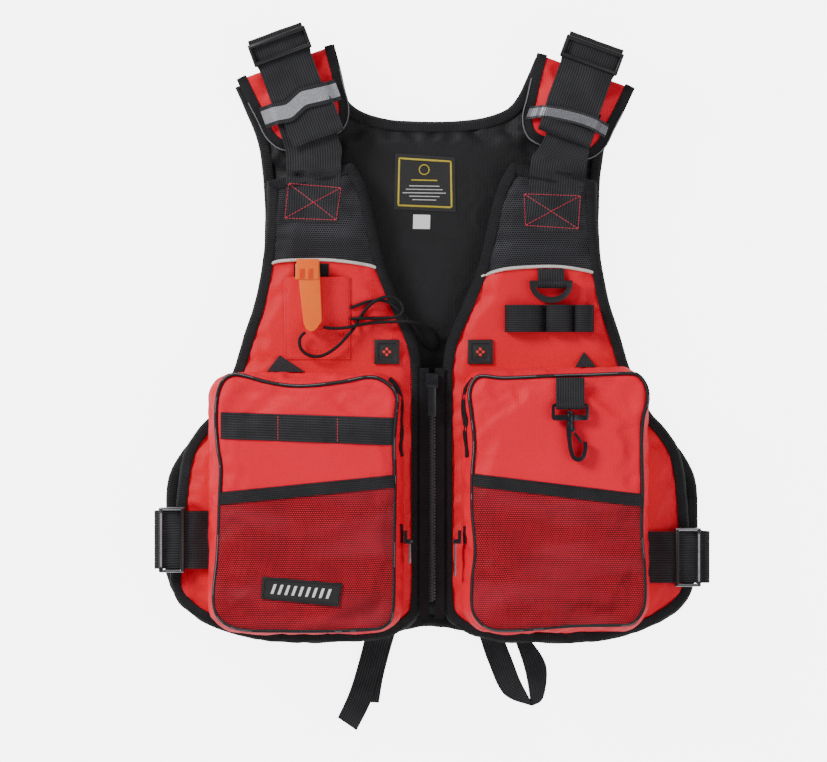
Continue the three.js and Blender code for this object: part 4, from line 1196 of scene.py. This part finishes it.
rows = laid_rows([(POCKET_X[0], POCKET_Y[0]), (POCKET_X[0], POCKET_Y[1])],
                 [(POCKET_X[1], POCKET_Y[0]), (POCKET_X[1], POCKET_Y[1])], 22, 3 * MM, whistle_cloth)
pouch = cloth_strip("whistle_pouch", rows, 0.9 * MM)
dress(pouch, red_nylon, "right_front", ["whistle_pocket"])
# A black sheet at the pouch's mouth: partly the pouch's black lining and partly painted shade inside the open
# mouth.
mouth_rows = laid_rows([(-127, 88), (-127, 106)], [(-95, 88), (-95, 106)], 10, 3 * MM,
                       lambda x, y, s, t: top_of(skins, x, y, FRONT_HIGH) + 0.3 * MM)
pouch_mouth_lining_and_shade = cloth_strip("whistle_pouch_lining_and_shade", mouth_rows, 0.4 * MM)
dress(pouch_mouth_lining_and_shade, black_nylon, "right_front")
thread = ([], [])
seam_x = (POCKET_X[0] + 1.6, POCKET_X[1] - 1.6)
for ends in (((seam_x[0], 93), (seam_x[0], 19.6)), ((seam_x[0], 19.6), (seam_x[1], 19.6)),
             ((seam_x[1], 19.6), (seam_x[1], 93))):
    stitch_row(ends, [skin_of(pouch)], thread, lift=0.05 * MM)
red_seam = thread_finish("red_seam_thread", "#A00818", "#D01428")
seams = new_piece("whistle_pouch_stitching", *thread)
dress(seams, red_seam, "right_front")
whistle_plastic = moulded_plastic("moulded_orange_polypropylene", "#FF5E08", "#FF7A20", 0.34, 0.9 * MM,
                                  Subsurface_Weight=0.12, Subsurface_Scale=0.004)
whistle_core = moulded_plastic("deep_orange_polypropylene", "#D83000", "#F04400", 0.3, 0.9 * MM)
softened("safety_whistle", "whistle", 1.1 * MM, whistle_plastic, "whistle", 3)
wlo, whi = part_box("whistle")


def cube(name, centre, size):
    """A plain cube at its size and place, the only piece selected."""
    bpy.ops.object.select_all(action="DESELECT")
    bpy.ops.mesh.primitive_cube_add(size=1, location=centre, scale=size)
    bpy.context.object.name = name
    bpy.ops.object.transform_apply(location=True, rotation=True, scale=True)
    return bpy.context.object


def block(name, centre, size, round_by, material, body, segments=3):
    """A rounded moulded block: a cube at its size, bevelled all round."""
    piece = cube(name, centre, size)
    bpy.ops.object.mode_set(mode="EDIT")
    bpy.ops.mesh.select_all(action="SELECT")
    bpy.ops.mesh.bevel(offset=round_by, segments=segments, affect="EDGES")
    bpy.ops.object.mode_set(mode="OBJECT")
    smooth(piece, 40)
    piece.select_set(False)
    return dress(piece, material, body)


mid_x = (wlo.x + whi.x) / 2 - 1.8 * MM
block("whistle_mouthpiece", (mid_x, 98.5 * MM, whi.z - 0.6 * MM), (21.6 * MM, 15 * MM, 4 * MM), 1.2 * MM,
      whistle_plastic, "whistle")
for k, dx in enumerate((-4.4, 3.4)):
    block(f"whistle_window_{k + 1}", (mid_x + dx * MM, 96.5 * MM, whi.z + 1.1 * MM),
          (5.2 * MM, 9.5 * MM, 0.9 * MM), 0.35 * MM, whistle_core, "whistle", 2)

# ---------- D-ring and tool loops ----------
# A moulded D-ring hangs from a folded tab of webbing; under it three loops of elastic webbing, sewn
# down between each, hold small tools.
lacquer = moulded_plastic("black_lacquered_zinc", "#121215", "#303036", 0.26, 1.5 * MM, Metallic=0.5)


def folded_tab(name, half, top_y, bar, low, body, node, radius):
    """Webbing folded round a bar and sewn to itself; bar is the bar's (x, y, z) in mm."""
    x0, y0, z0 = bar
    path = [(top_y, low + 2.6), (y0 + 6, low + 3.2)]
    path += [(y0 + radius * math.cos(math.radians(a)), z0 + radius * math.sin(math.radians(a)))
             for a in range(70, 300, 20)]
    path += [(y0 + 5, low + 1.2), (top_y, low + 1.0)]
    rows = [[((x0 + x) * MM, y * MM, z * MM) for x in np.linspace(-half, half, 9)]
            for y, z in smooth_path(path, 1.2)]
    return dress(cloth_strip(name, rows, 1.3 * MM, 0), webbing, body, [node])


folded_tab("ring_tab", 12, 101, (109.5, 87.5, 54.0), 49.2, "left_front", "d_ring_tab", 3.7)
softened("d_ring_moulding", "d_ring", 1.5 * MM, buckle_plastic, "d_ring", 3, 0.8 * MM)
thread = ([], [])
LOOPS = ((68.5, 101), (105.5, 128), (132, 147.5))
loop_rows = []
for x0, x1 in LOOPS:
    middle, half = (x0 + x1) / 2, (x1 - x0) / 2
    for k in range(19):
        a = math.pi * k / 18
        loop_rows.append((middle - half * math.copysign(abs(math.cos(a)) ** 0.75, math.cos(a)),
                          50.6 + 8.8 * math.sin(a) ** 0.5))
rows = []
for x, z in evenly(loop_rows, 1.3):
    rows.append([(x * MM, y * MM, (z + 0.25 * math.sin(y * 0.5 + x * 0.3)) * MM)
                 for y in np.linspace(43, 68, 10)])
elastic = ribbed_tape("black_elastic_webbing", "#0E0E10", "#3C3C40", 2.1 * MM, False, 0.62)
loops = cloth_strip("tool_loop_webbing", rows, 1.4 * MM, 0)
dress(loops, elastic, "left_front", ["tool_loops"])
base = cloth_strip("tool_loop_backing", laid_rows([(67, 43), (149, 43)], [(67, 68), (149, 68)], 8, 4 * MM,
                   lambda x, y, s, t: max(top_of([front_skins["left"]], x, y), 48 * MM) + 0.3 * MM), 1.0 * MM)
dress(base, elastic, "left_front")

# ---------- rubber squares ----------
# Small moulded rubber accents beside the zip: a raised rim round a flat field, with four red dots.
rubber = moulded_plastic("moulded_black_rubber", "#0F0F10", "#1D1D1F", 0.6, 0.7 * MM)
red_rubber = moulded_plastic("red_rubber_inlay", "#D8141C", "#F03830", 0.5, 0.8 * MM)
for side in SIDES:
    lo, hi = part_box(f"{side}_rubber_square")
    cx, cy = (lo.x + hi.x) / 2, (lo.y + hi.y) / 2
    base_z = min(top_of([front_skins[side]], cx, cy), FRONT_HIGH)
    square = cube(f"{side}_rubber_accent", (cx, cy, base_z + 0.8 * MM), (hi.x - lo.x, hi.y - lo.y, 3.2 * MM))
    bpy.ops.object.mode_set(mode="EDIT")
    bpy.ops.mesh.select_all(action="DESELECT")
    bpy.ops.object.mode_set(mode="OBJECT")
    for face in square.data.polygons:
        face.select = face.normal.z > 0.9
    bpy.ops.object.mode_set(mode="EDIT")
    bpy.ops.mesh.inset(thickness=3.4 * MM)
    bpy.ops.mesh.inset(thickness=0.5 * MM, depth=-1.0 * MM)
    bpy.ops.mesh.inset(thickness=2.0 * MM, depth=0.0)
    bpy.ops.mesh.inset(thickness=0.5 * MM, depth=0.5 * MM)
    bpy.ops.object.mode_set(mode="OBJECT")
    rounding = square.modifiers.new("round", "BEVEL")
    rounding.width, rounding.segments = 0.4 * MM, 2
    apply_modifiers(square)
    smooth(square, 35)
    dress(square, rubber, f"{side}_front", [f"{side}_rubber_square"])
    for k, (dx, dy) in enumerate(((-2.6, 0), (2.6, 0), (0, -2.6), (0, 2.6))):
        block(f"{side}_accent_dot_{k + 1}", (cx + dx * MM, cy + dy * MM, base_z + 2.1 * MM),
              (2.6 * MM, 2.6 * MM, 1.0 * MM), 0.4 * MM, red_rubber, f"{side}_front", 2)

# ---------- snap hook ----------
# A lacquered zinc swivel hook on a tab of webbing that is caught in the pocket's upper piping.
folded_tab("hook_webbing_tab", 13, 1, (126, -24, 93.6), 87.4, "left_front", "hook_tab", 3.4)
softened("hook_eye_frame", "hook_eye", 0.9 * MM, lacquer, "hook_eye", 2)
softened("swivel_snap_hook", "snap_hook", 1.1 * MM, lacquer, "snap_hook", 3)
softened("snap_hook_spring_gate", "snap_hook_gate", 0.6 * MM, lacquer, "hook_gate", 2)

# ---------- webbing strip and name patch on the right pocket ----------
# A strip of 25 mm webbing, sewn down with two rows of red stitches so that it makes three loops.
# Below it a moulded rubber patch with a raised rim; its field carries plain slanted bars.
strip_rows = laid_rows([(-34.5, -60.9), (-193.2, -54.9)], [(-34.5, -35.6), (-193.2, -30.5)], 8, 3 * MM,
                       lambda x, y, s, t: top_of([pocket_skins["right"]], x, y) + 0.25 * MM
                       + 1.1 * MM * abs(math.sin(math.pi * (x / MM + 34) / 54)) ** 0.6)
strip = cloth_strip("pocket_webbing_loops", strip_rows[::-1], 1.5 * MM)
dress(strip, webbing, "right_front", ["pocket_webbing_strip"])
thread = ([], [])
for x, top, bottom in ((-140.8, -33.6, -55.4), (-86.5, -35.4, -57.4)):
    stitch_row(((x, top), (x, bottom)), [skin_of(strip)], thread, pitch=2.8 * MM)
dress(new_piece("pocket_webbing_stitching", *thread), red_thread, "right_front")

PATCH = [(-154.6, -180.5), (-81.9, -186.9), (-85.1, -208.1), (-156.4, -200.7)]
# The patch is stiff, so it lies flat on the net's highest point.
spots = [top_of([net_skins["right"]], x * MM, y * MM) for x, y in PATCH + [(-119, -194)]]
patch_z = max(spots) + 0.2 * MM
rows = laid_rows([PATCH[3], PATCH[2]], [PATCH[0], PATCH[1]], 6, 5 * MM, lambda x, y, s, t: patch_z)
name_patch = cloth_strip("rubber_name_patch", rows[::-1], 1.6 * MM)
rounding = name_patch.modifiers.new("round", "BEVEL")
rounding.width, rounding.segments, rounding.limit_method = 0.5 * MM, 2, "ANGLE"
apply_modifiers(name_patch)
dress(name_patch, rubber, "right_front", ["pocket_name_patch"])
centre = [sum(p[k] for p in PATCH) / 4 for k in (0, 1)]
RIM_INSET = (0.955, 0.84)
inner = [tuple((centre[k] + (p[k] - centre[k]) * RIM_INSET[k]) * MM for k in (0, 1)) for p in PATCH]
ring = evenly(inner, 3 * MM, True)
dress(tube("name_patch_rim", [(p[0], p[1], patch_z + 1.7 * MM) for p in ring], 0.7 * MM, 8, True), rubber,
      "right_front")
white_rubber = moulded_plastic("white_rubber_inlay", "#DCDCDC", "#F6F6F6", 0.5, 0.8 * MM)
slope = math.atan2(PATCH[1][1] - PATCH[0][1], PATCH[1][0] - PATCH[0][0])
for k in range(9):
    along = (k - 4) * 6.3
    x, y = centre[0] + along * math.cos(slope), centre[1] + along * math.sin(slope)
    verts = []
    for z in (patch_z + 1.2 * MM, patch_z + 2.3 * MM):
        for dx, dy in ((-2.9, -4.4), (-0.3, -4.4), (2.9, 4.4), (0.3, 4.4)):
            verts.append(((x + dx) * MM, (y + dy) * MM, z))
    bar = new_piece(f"name_patch_bar_{k + 1}", verts, [(3, 2, 1, 0), (4, 5, 6, 7), (0, 1, 5, 4), (1, 2, 6, 5),
                                                      (2, 3, 7, 6), (3, 0, 4, 7)])
    rounding = bar.modifiers.new("round", "BEVEL")
    rounding.width, rounding.segments = 0.35 * MM, 2
    apply_modifiers(bar)
    outward(bar)
    smooth(bar, 40)
    dress(bar, white_rubber, "right_front")

# ---------- main zip ----------
# A heavy moulded-tooth zip on black tape between the fronts, closed from end to end.
TOOTH_PITCH = 2.9 * MM
zlo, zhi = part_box("right_zip_half")
zip_tape = ribbed_tape("zip_tape", "#0F0F11", "#2E2E32", 1.1 * MM, True, 0.66)
tooth_plastic = moulded_plastic("moulded_zip_teeth", "#151517", "#2C2C30", 0.32, 0.6 * MM)
for side, sign in SIDES.items():
    x0, x1 = sorted((sign * 2.6, sign * 11.5))
    rows = [[(x * MM, y, zhi.z - 2.0 * MM + 0.5 * MM * noise.noise(Vector((x / 6, y * 40, sign))))
             for x in np.linspace(x0, x1, 6)] for y in np.arange(zlo.y - 14 * MM, zhi.y + 7 * MM, 3 * MM)]
    tape = cloth_strip(f"{side}_zip_tape", rows, 0.8 * MM, 0)
    dress(tape, zip_tape, f"{side}_front", [f"{side}_zip_half"])
    verts, faces = [], []
    count = int((zhi.y - zlo.y - 4 * MM) / TOOTH_PITCH)
    for k in range(count):
        y = zlo.y + 3 * MM + (k + (0.5 if sign > 0 else 0)) * TOOTH_PITCH
        base = len(verts)
        # Each tooth: a broad clamp on the tape that narrows to a head over the middle.
        for x, wide, low, high in ((3.4, 0.9, -2.6, -0.6), (2.2, 1.25, -2.8, 0), (0.2, 1.0, -2.7, 0),
                                   (-1.1, 1.25, -2.5, -0.3)):
            for dy, z in ((-wide, low), (wide, low), (wide * 0.8, high), (-wide * 0.8, high)):
                verts.append((sign * x * MM, y + dy * MM * 0.95, zhi.z + z * MM))
        faces += bar_faces(base)
    teeth = new_piece(f"{side}_zip_teeth", verts, faces)
    outward(teeth)
    smooth(teeth, 30)
    dress(teeth, tooth_plastic, f"{side}_front")
softened("main_zip_slider_body", "main_zip_slider", 0.7 * MM, lacquer, "main_slider")
softened("main_zip_pull_tab", "main_zip_pull", 0.6 * MM, lacquer, "main_pull")

# ---------- pocket zips ----------
# A coil zip runs in each pocket's side wall, round the corner next to the main zip.
ZIP_HEIGHT = 69 * MM
nickel, nickel_tree, nickel_shader = finish("polished_nickel_plate", 0.24, Metallic=1.0)
at = add(nickel_tree, "ShaderNodeTexCoord").outputs["Object"]
rub = add(nickel_tree, "ShaderNodeTexNoise", {"Vector": at, "Scale": 420, "Detail": 4}).outputs["Fac"]
surface(nickel_tree, nickel_shader, blend_colours(nickel_tree, rub, "#6A6A6E", "#96969A"), rub, 0.04 * MM)
for side, sign in SIDES.items():
    lo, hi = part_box(f"{side}_pocket")
    foot = round_box(lo.x, lo.y, hi.x, hi.y, FOOT_CORNER, 3 * MM)
    centre = ((lo.x + hi.x) / 2, (lo.y + hi.y) / 2)
    ring = by_angle(foot, centre, 360) * 0.62 + by_angle(face_lines[side], centre, 360) * 0.38
    inner = lo.x if side == "left" else hi.x
    ring = [p for p in ring if abs(p[0] - inner) < 16 * MM]
    ring.sort(key=lambda p: math.atan2((p[1] - centre[1]), -sign * (p[0] - centre[0])))
    # A fold of the wall hides the zip's middle; it shows again by its slider.
    for part, low, high in (("upper", -72 * MM, 20 * MM), ("lower", -152 * MM, -130 * MM)):
        hits = [pocket_skins[side].find_nearest(Vector((p[0], p[1], ZIP_HEIGHT)))
                for p in ring if low < p[1] < high]
        line = smooth_path([tuple(h[0]) for h in hits[::5]], 2.5 * MM)
        normals = [pocket_skins[side].find_nearest(Vector(p))[1] for p in line]
        rows = []
        for i, p in enumerate(line):
            normal = sum(normals[max(i - 4, 0):i + 5], Vector()).normalized()
            ahead = Vector(line[min(i + 1, len(line) - 1)]) - Vector(line[max(i - 1, 0)])
            wide = normal.cross(ahead.normalized()).normalized()
            rows.append([Vector(p) + wide * w * MM + normal * (0.35 + 0.3 * (abs(w) < 1.7)) * MM
                         for w in (-4.4, -3.2, -1.7, -0.8, 0.8, 1.7, 3.2, 4.4)])
        made = cloth_strip(f"{side}_pocket_zip_{part}_tape", rows, 0.7 * MM, 0)
        dress(made, zip_tape, f"{side}_front")
        out = Vector((-sign * 0.3 * MM, 0, 0.2 * MM))
        path = [sum((Vector(q) for q in row[3:5]), Vector()) / 2 + out for row in rows]
        coil = tube(f"{side}_pocket_zip_{part}_coil", path, 0.7 * MM, 8)
        dress(coil, binding_tape, f"{side}_front")
    softened(f"{side}_pocket_slider_body", f"{side}_pocket_zip_slider", 0.6 * MM, lacquer,
             f"{side}_pocket_slider")
    softened(f"{side}_pocket_pull_tab", f"{side}_pocket_zip_pull", 0.5 * MM, nickel,
             f"{side}_pocket_pull")

# ---------- bar-tack corners ----------
# Small black triangles of folded tape reinforce the outer top corner of each pocket.
for side, base_line, tip in (("right", [(-151.8, 6.5), (-116.8, 6.0)], (-139.8, 21)),
                             ("left", [(131.6, 10.5), (150.9, 10.5)], (139.8, 23.8))):
    a, b = base_line
    rows = laid_rows([a, (tip[0] - 0.6, tip[1])], [b, (tip[0] + 0.6, tip[1])], 6, 2 * MM,
                     lambda x, y, s, t: top_of([front_skins[side]], x, y) + 0.4 * MM + (1 - t) * 4 * MM)
    dress(cloth_strip(f"{side}_pocket_corner_tack", rows, 1.2 * MM), webbing, f"{side}_front")

# ---------- waist webbing and adjusters ----------
# Ribbed webbing comes out from behind each pocket, passes through a ladder-lock adjuster, and turns
# round its outer bar to run back along the rear panel.
WAIST = {"right": (-148, 27, -1), "left": (-164, 24, 1)}
CAP_WIDTH = 3.4 * MM
# Light grey plate, partly its own colour and partly a painted highlight.
gunmetal_and_highlight = moulded_plastic("gunmetal_plate_with_painted_highlight", "#8A8A90", "#C2C2C8", 0.26, 1.2 * MM, Metallic=0.9)
for side, (y0, half, sign) in WAIST.items():
    front_path = [(198, 51.0), (206, 51.6), (214, 54.2), (222, 55.8), (236, 55.9), (250.5, 55.9)]
    rows = [[(sign * x * MM, (y0 + w) * MM, (z + 0.35 * math.sin(w * 0.16 + x * 0.2)) * MM)
             for w in np.linspace(-half + 0.4, half - 0.4, 12)] for x, z in smooth_path(front_path, 2.5)]
    made = cloth_strip(f"{side}_waist_strap", rows, 1.6 * MM, 0)
    outward(made)
    dress(made, webbing, f"{side}_front", [f"{side}_waist_webbing"])
    rear_path = [(250.5, 55.9), (253.6, 54.6), (254.6, 51), (254.9, 42), (254.8, 34), (253.6, 26.5),
                 (249.5, 23.4), (240, 22.7), (225, 22.6), (198, 22.6)]
    rows = []
    for x, z in smooth_path(rear_path, 2):
        reach = half - 0.4 + 1.3 * ease((251 - x) / 4)
        rows.append([(sign * x * MM, (y0 + w) * MM, z * MM) for w in np.linspace(-reach, reach, 12)])
    made = cloth_strip(f"{side}_waist_strap_return", rows, 1.6 * MM, 0)
    outward(made)
    made.data.materials.append(webbing)
    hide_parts(f"{side}_rear_waist_webbing")
    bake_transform(made)
    lock = softened(f"{side}_waist_ladder_lock", f"{side}_waist_buckle", 0.8 * MM, buckle_plastic,
                    f"{side}_waist_buckle")
    lo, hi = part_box(f"{side}_waist_buckle")
    outer = sign * (max(abs(lo.x), abs(hi.x)) - 2.2 * MM)
    # Gunmetal caps cover the upper faces of the buckle's two ends, and a strip lies on its outer bar's crown;
    # their light grey is partly the plate's own colour and partly a painted highlight.
    lock.data.materials.append(gunmetal_and_highlight)
    for face in lock.data.polygons:
        middle = face.center
        if min(middle.y - lo.y, hi.y - middle.y) < CAP_WIDTH and middle.z > (lo.z + hi.z) / 2:
            face.material_index = 1
    bar = [(outer, y, hi.z + 0.1 * MM) for y in np.linspace(lo.y + 5 * MM, hi.y - 5 * MM, 12)]
    crown = tube(f"{side}_waist_bar_highlight_strip", bar, 0.9 * MM, 8)
    dress(crown, gunmetal_and_highlight, f"{side}_waist_buckle")

# ---------- crotch straps ----------
# Two long webbing straps hang from the back's lower edge, folded up behind it; a strand of the right
# one hangs free and the left one is doubled back in a loop.
STRANDS = {
    "right": (((-58, -224), (-61.5, -238), (-69.9, -269.7), (-77.3, -292.7), (-87.4, -314.5)),
              ((-34, -224), (-38.4, -238), (-48.8, -274.3), (-57, -301), (-69.9, -326.5)),
              1.9, "right_crotch_strap"),
    "right_under": (((-52, -224), (-56, -238), (-65, -272), (-71.5, -300)),
                    ((-30, -224), (-34, -236), (-44.2, -273.4), (-49.1, -301)), 0.1, None),
    "left": (((41, -226), (45, -241), (52, -262), (66.8, -292.7), (92, -303.6)),
             ((62, -226), (67, -241), (75.4, -262.4), (81.9, -279.4), (91.5, -298)),
             1.9, "left_crotch_strap"),
    "left_under": (((70, -226), (76, -240), (84, -262), (88.5, -280), (92, -303.6)),
                   ((80, -226), (90, -240), (106.2, -266), (103.8, -296), (93.5, -303.8)), 0.1, None),
}
for name, (left, right, low, node) in STRANDS.items():
    rows = laid_rows(smooth_path(left, 3), smooth_path(right, 3), 10, 3 * MM, lambda x, y, s, t: (
        low + 0.15 * math.sin(9 * t + 5 * s) + 7 * ease((y / MM + 246) / 18)) * MM + 0.16 * MM)
    made = cloth_strip(f"{name}_crotch_webbing", rows[::-1], 1.4 * MM)
    dress(made, webbing, "back", [node] if node else [])

# ---------- neck label ----------
# A woven black label with a gold border line, plain gold and grey rules in place of words, and a
# small blank white size tag under it.
LABEL = [(-34, 208.7), (21.4, 205), (22.1, 154.4), (-35, 157)]
label_cloth, label_tree, label_shader = finish("woven_label_cloth", 0.55, Sheen_Weight=0.2)
at = add(label_tree, "ShaderNodeTexCoord").outputs["Object"]
picks = two_waves(label_tree, at, 0.9 * MM, 1.2 * MM)
label_black = blend_colours(label_tree, picks[0], "#0C0C0D", "#1C1C1E")
surface(label_tree, label_shader, label_black, picks[1], 0.15 * MM)
gold_thread = thread_finish("gold_label_thread", "#A89220", "#DCC63C")
pale_thread = thread_finish("pale_label_thread", "#B4B4B4", "#E4E4E4")
white_satin = plain_nylon("white_satin_tag", "#DADADA", "#F4F4F4", 0.6, 0.1)
back_skin = skin_of(back_panel)


def on_back(lift):
    return lambda x, y, s=0, t=0: top_of([back_skin], x, y) + lift


rows = laid_rows([LABEL[3], LABEL[0]], [LABEL[2], LABEL[1]], 12, 4 * MM, on_back(0.25 * MM))
label = cloth_strip("neck_label_cloth", rows, 0.5 * MM)
dress(label, label_cloth, "back", ["neck_label"])


def label_line(name, points, radius, material, closed=False):
    """A line of thread on the label: straight sides if closed, a smooth run if not."""
    route = [(x * MM, y * MM) for x, y in points]
    made = evenly(route, 2 * MM, True) if closed else smooth_path(route, 2 * MM)
    path = [(p[0], p[1], on_back(0.8 * MM)(p[0], p[1])) for p in made]
    dress(tube(name, path, radius, 6, closed), material, "back")


label_line("label_border", [(-30, 204), (17.6, 201), (18.4, 158.5), (-31, 160.5)], 1.0 * MM,
           gold_thread, True)
label_line("label_ring", [(-7 + 4.6 * math.cos(math.radians(a)), 193.5 + 4.6 * math.sin(math.radians(a)))
                          for a in range(0, 360, 20)], 0.6 * MM, gold_thread, True)
label_line("label_gold_rule", [(-19, 184), (5, 183.4)], 0.7 * MM, gold_thread)
for k, half in enumerate((14, 17, 20, 14, 11)):
    y = 178.6 - 3.2 * k
    label_line(f"label_rule_{k + 1}", [(-7 - half, y), (-7 + half, y - 0.5)], 0.45 * MM, pale_thread)
rows = laid_rows([(-17.5, 138.8), (-17.2, 152)], [(-1.8, 138.6), (-1.5, 151.6)], 5, 3 * MM, on_back(0.3 * MM))
tag = cloth_strip("size_tag", rows, 0.5 * MM)
dress(tag, white_satin, "back")

# ---------- floor and light ----------
# A plain pale floor under soft, even studio light.
FLOOR_GLOW = 5.0
SKY_LIGHT = 0.4
FLOOR_LIGHT = 0.35
bpy.ops.mesh.primitive_plane_add(size=8, location=(0, 0, -0.001))
floor = bpy.context.object
floor.name = "floor"
bpy.ops.object.transform_apply(location=True, rotation=True, scale=True)
paper, paper_tree, paper_shader = finish("white_paper", 0.9)
paper_shader.inputs["Base Color"].default_value = linear("#FAFAFA")
paper_shader.inputs["Emission Color"].default_value = linear("#FFFFFF")
# The floor glows brightly for the camera, so that it stays white, and only faintly for all other light, so
# that it throws little glow on the jacket.
paper_path = add(paper_tree, "ShaderNodeLightPath").outputs["Is Camera Ray"]
paper_glow = sew(paper_tree, "ADD", sew(paper_tree, "MULTIPLY", paper_path, FLOOR_GLOW), FLOOR_LIGHT)
paper_tree.links.new(paper_glow, paper_shader.inputs["Emission Strength"])
floor.data.materials.append(paper)
for name, place, size, power in (
    ("key", (-2.3, 1.7, 1.9), 1.1, 102),
    ("fill", (1.9, -0.6, 2.4), 2.0, 28),
    ("front", (0.1, -2.2, 2.2), 2.0, 17),
):
    lamp = bpy.data.lights.new(name, "AREA")
    lamp.size = size
    lamp.energy = power
    holder = bpy.data.objects.new(name, lamp)
    holder.location = place
    holder.rotation_euler = (-Vector(place)).to_track_quat("-Z", "Y").to_euler()
    bpy.context.collection.objects.link(holder)
sky = bpy.data.worlds.new("studio")
sky.use_nodes = True
sky.node_tree.nodes["Background"].inputs["Color"].default_value = (1, 1, 1, 1)
sky_path = add(sky.node_tree, "ShaderNodeLightPath").outputs["Is Camera Ray"]
sky_glow = sew(sky.node_tree, "ADD", sew(sky.node_tree, "MULTIPLY", sky_path, FLOOR_GLOW), SKY_LIGHT)
sky.node_tree.links.new(sky_glow, sky.node_tree.nodes["Background"].inputs["Strength"])
bpy.context.scene.world = sky
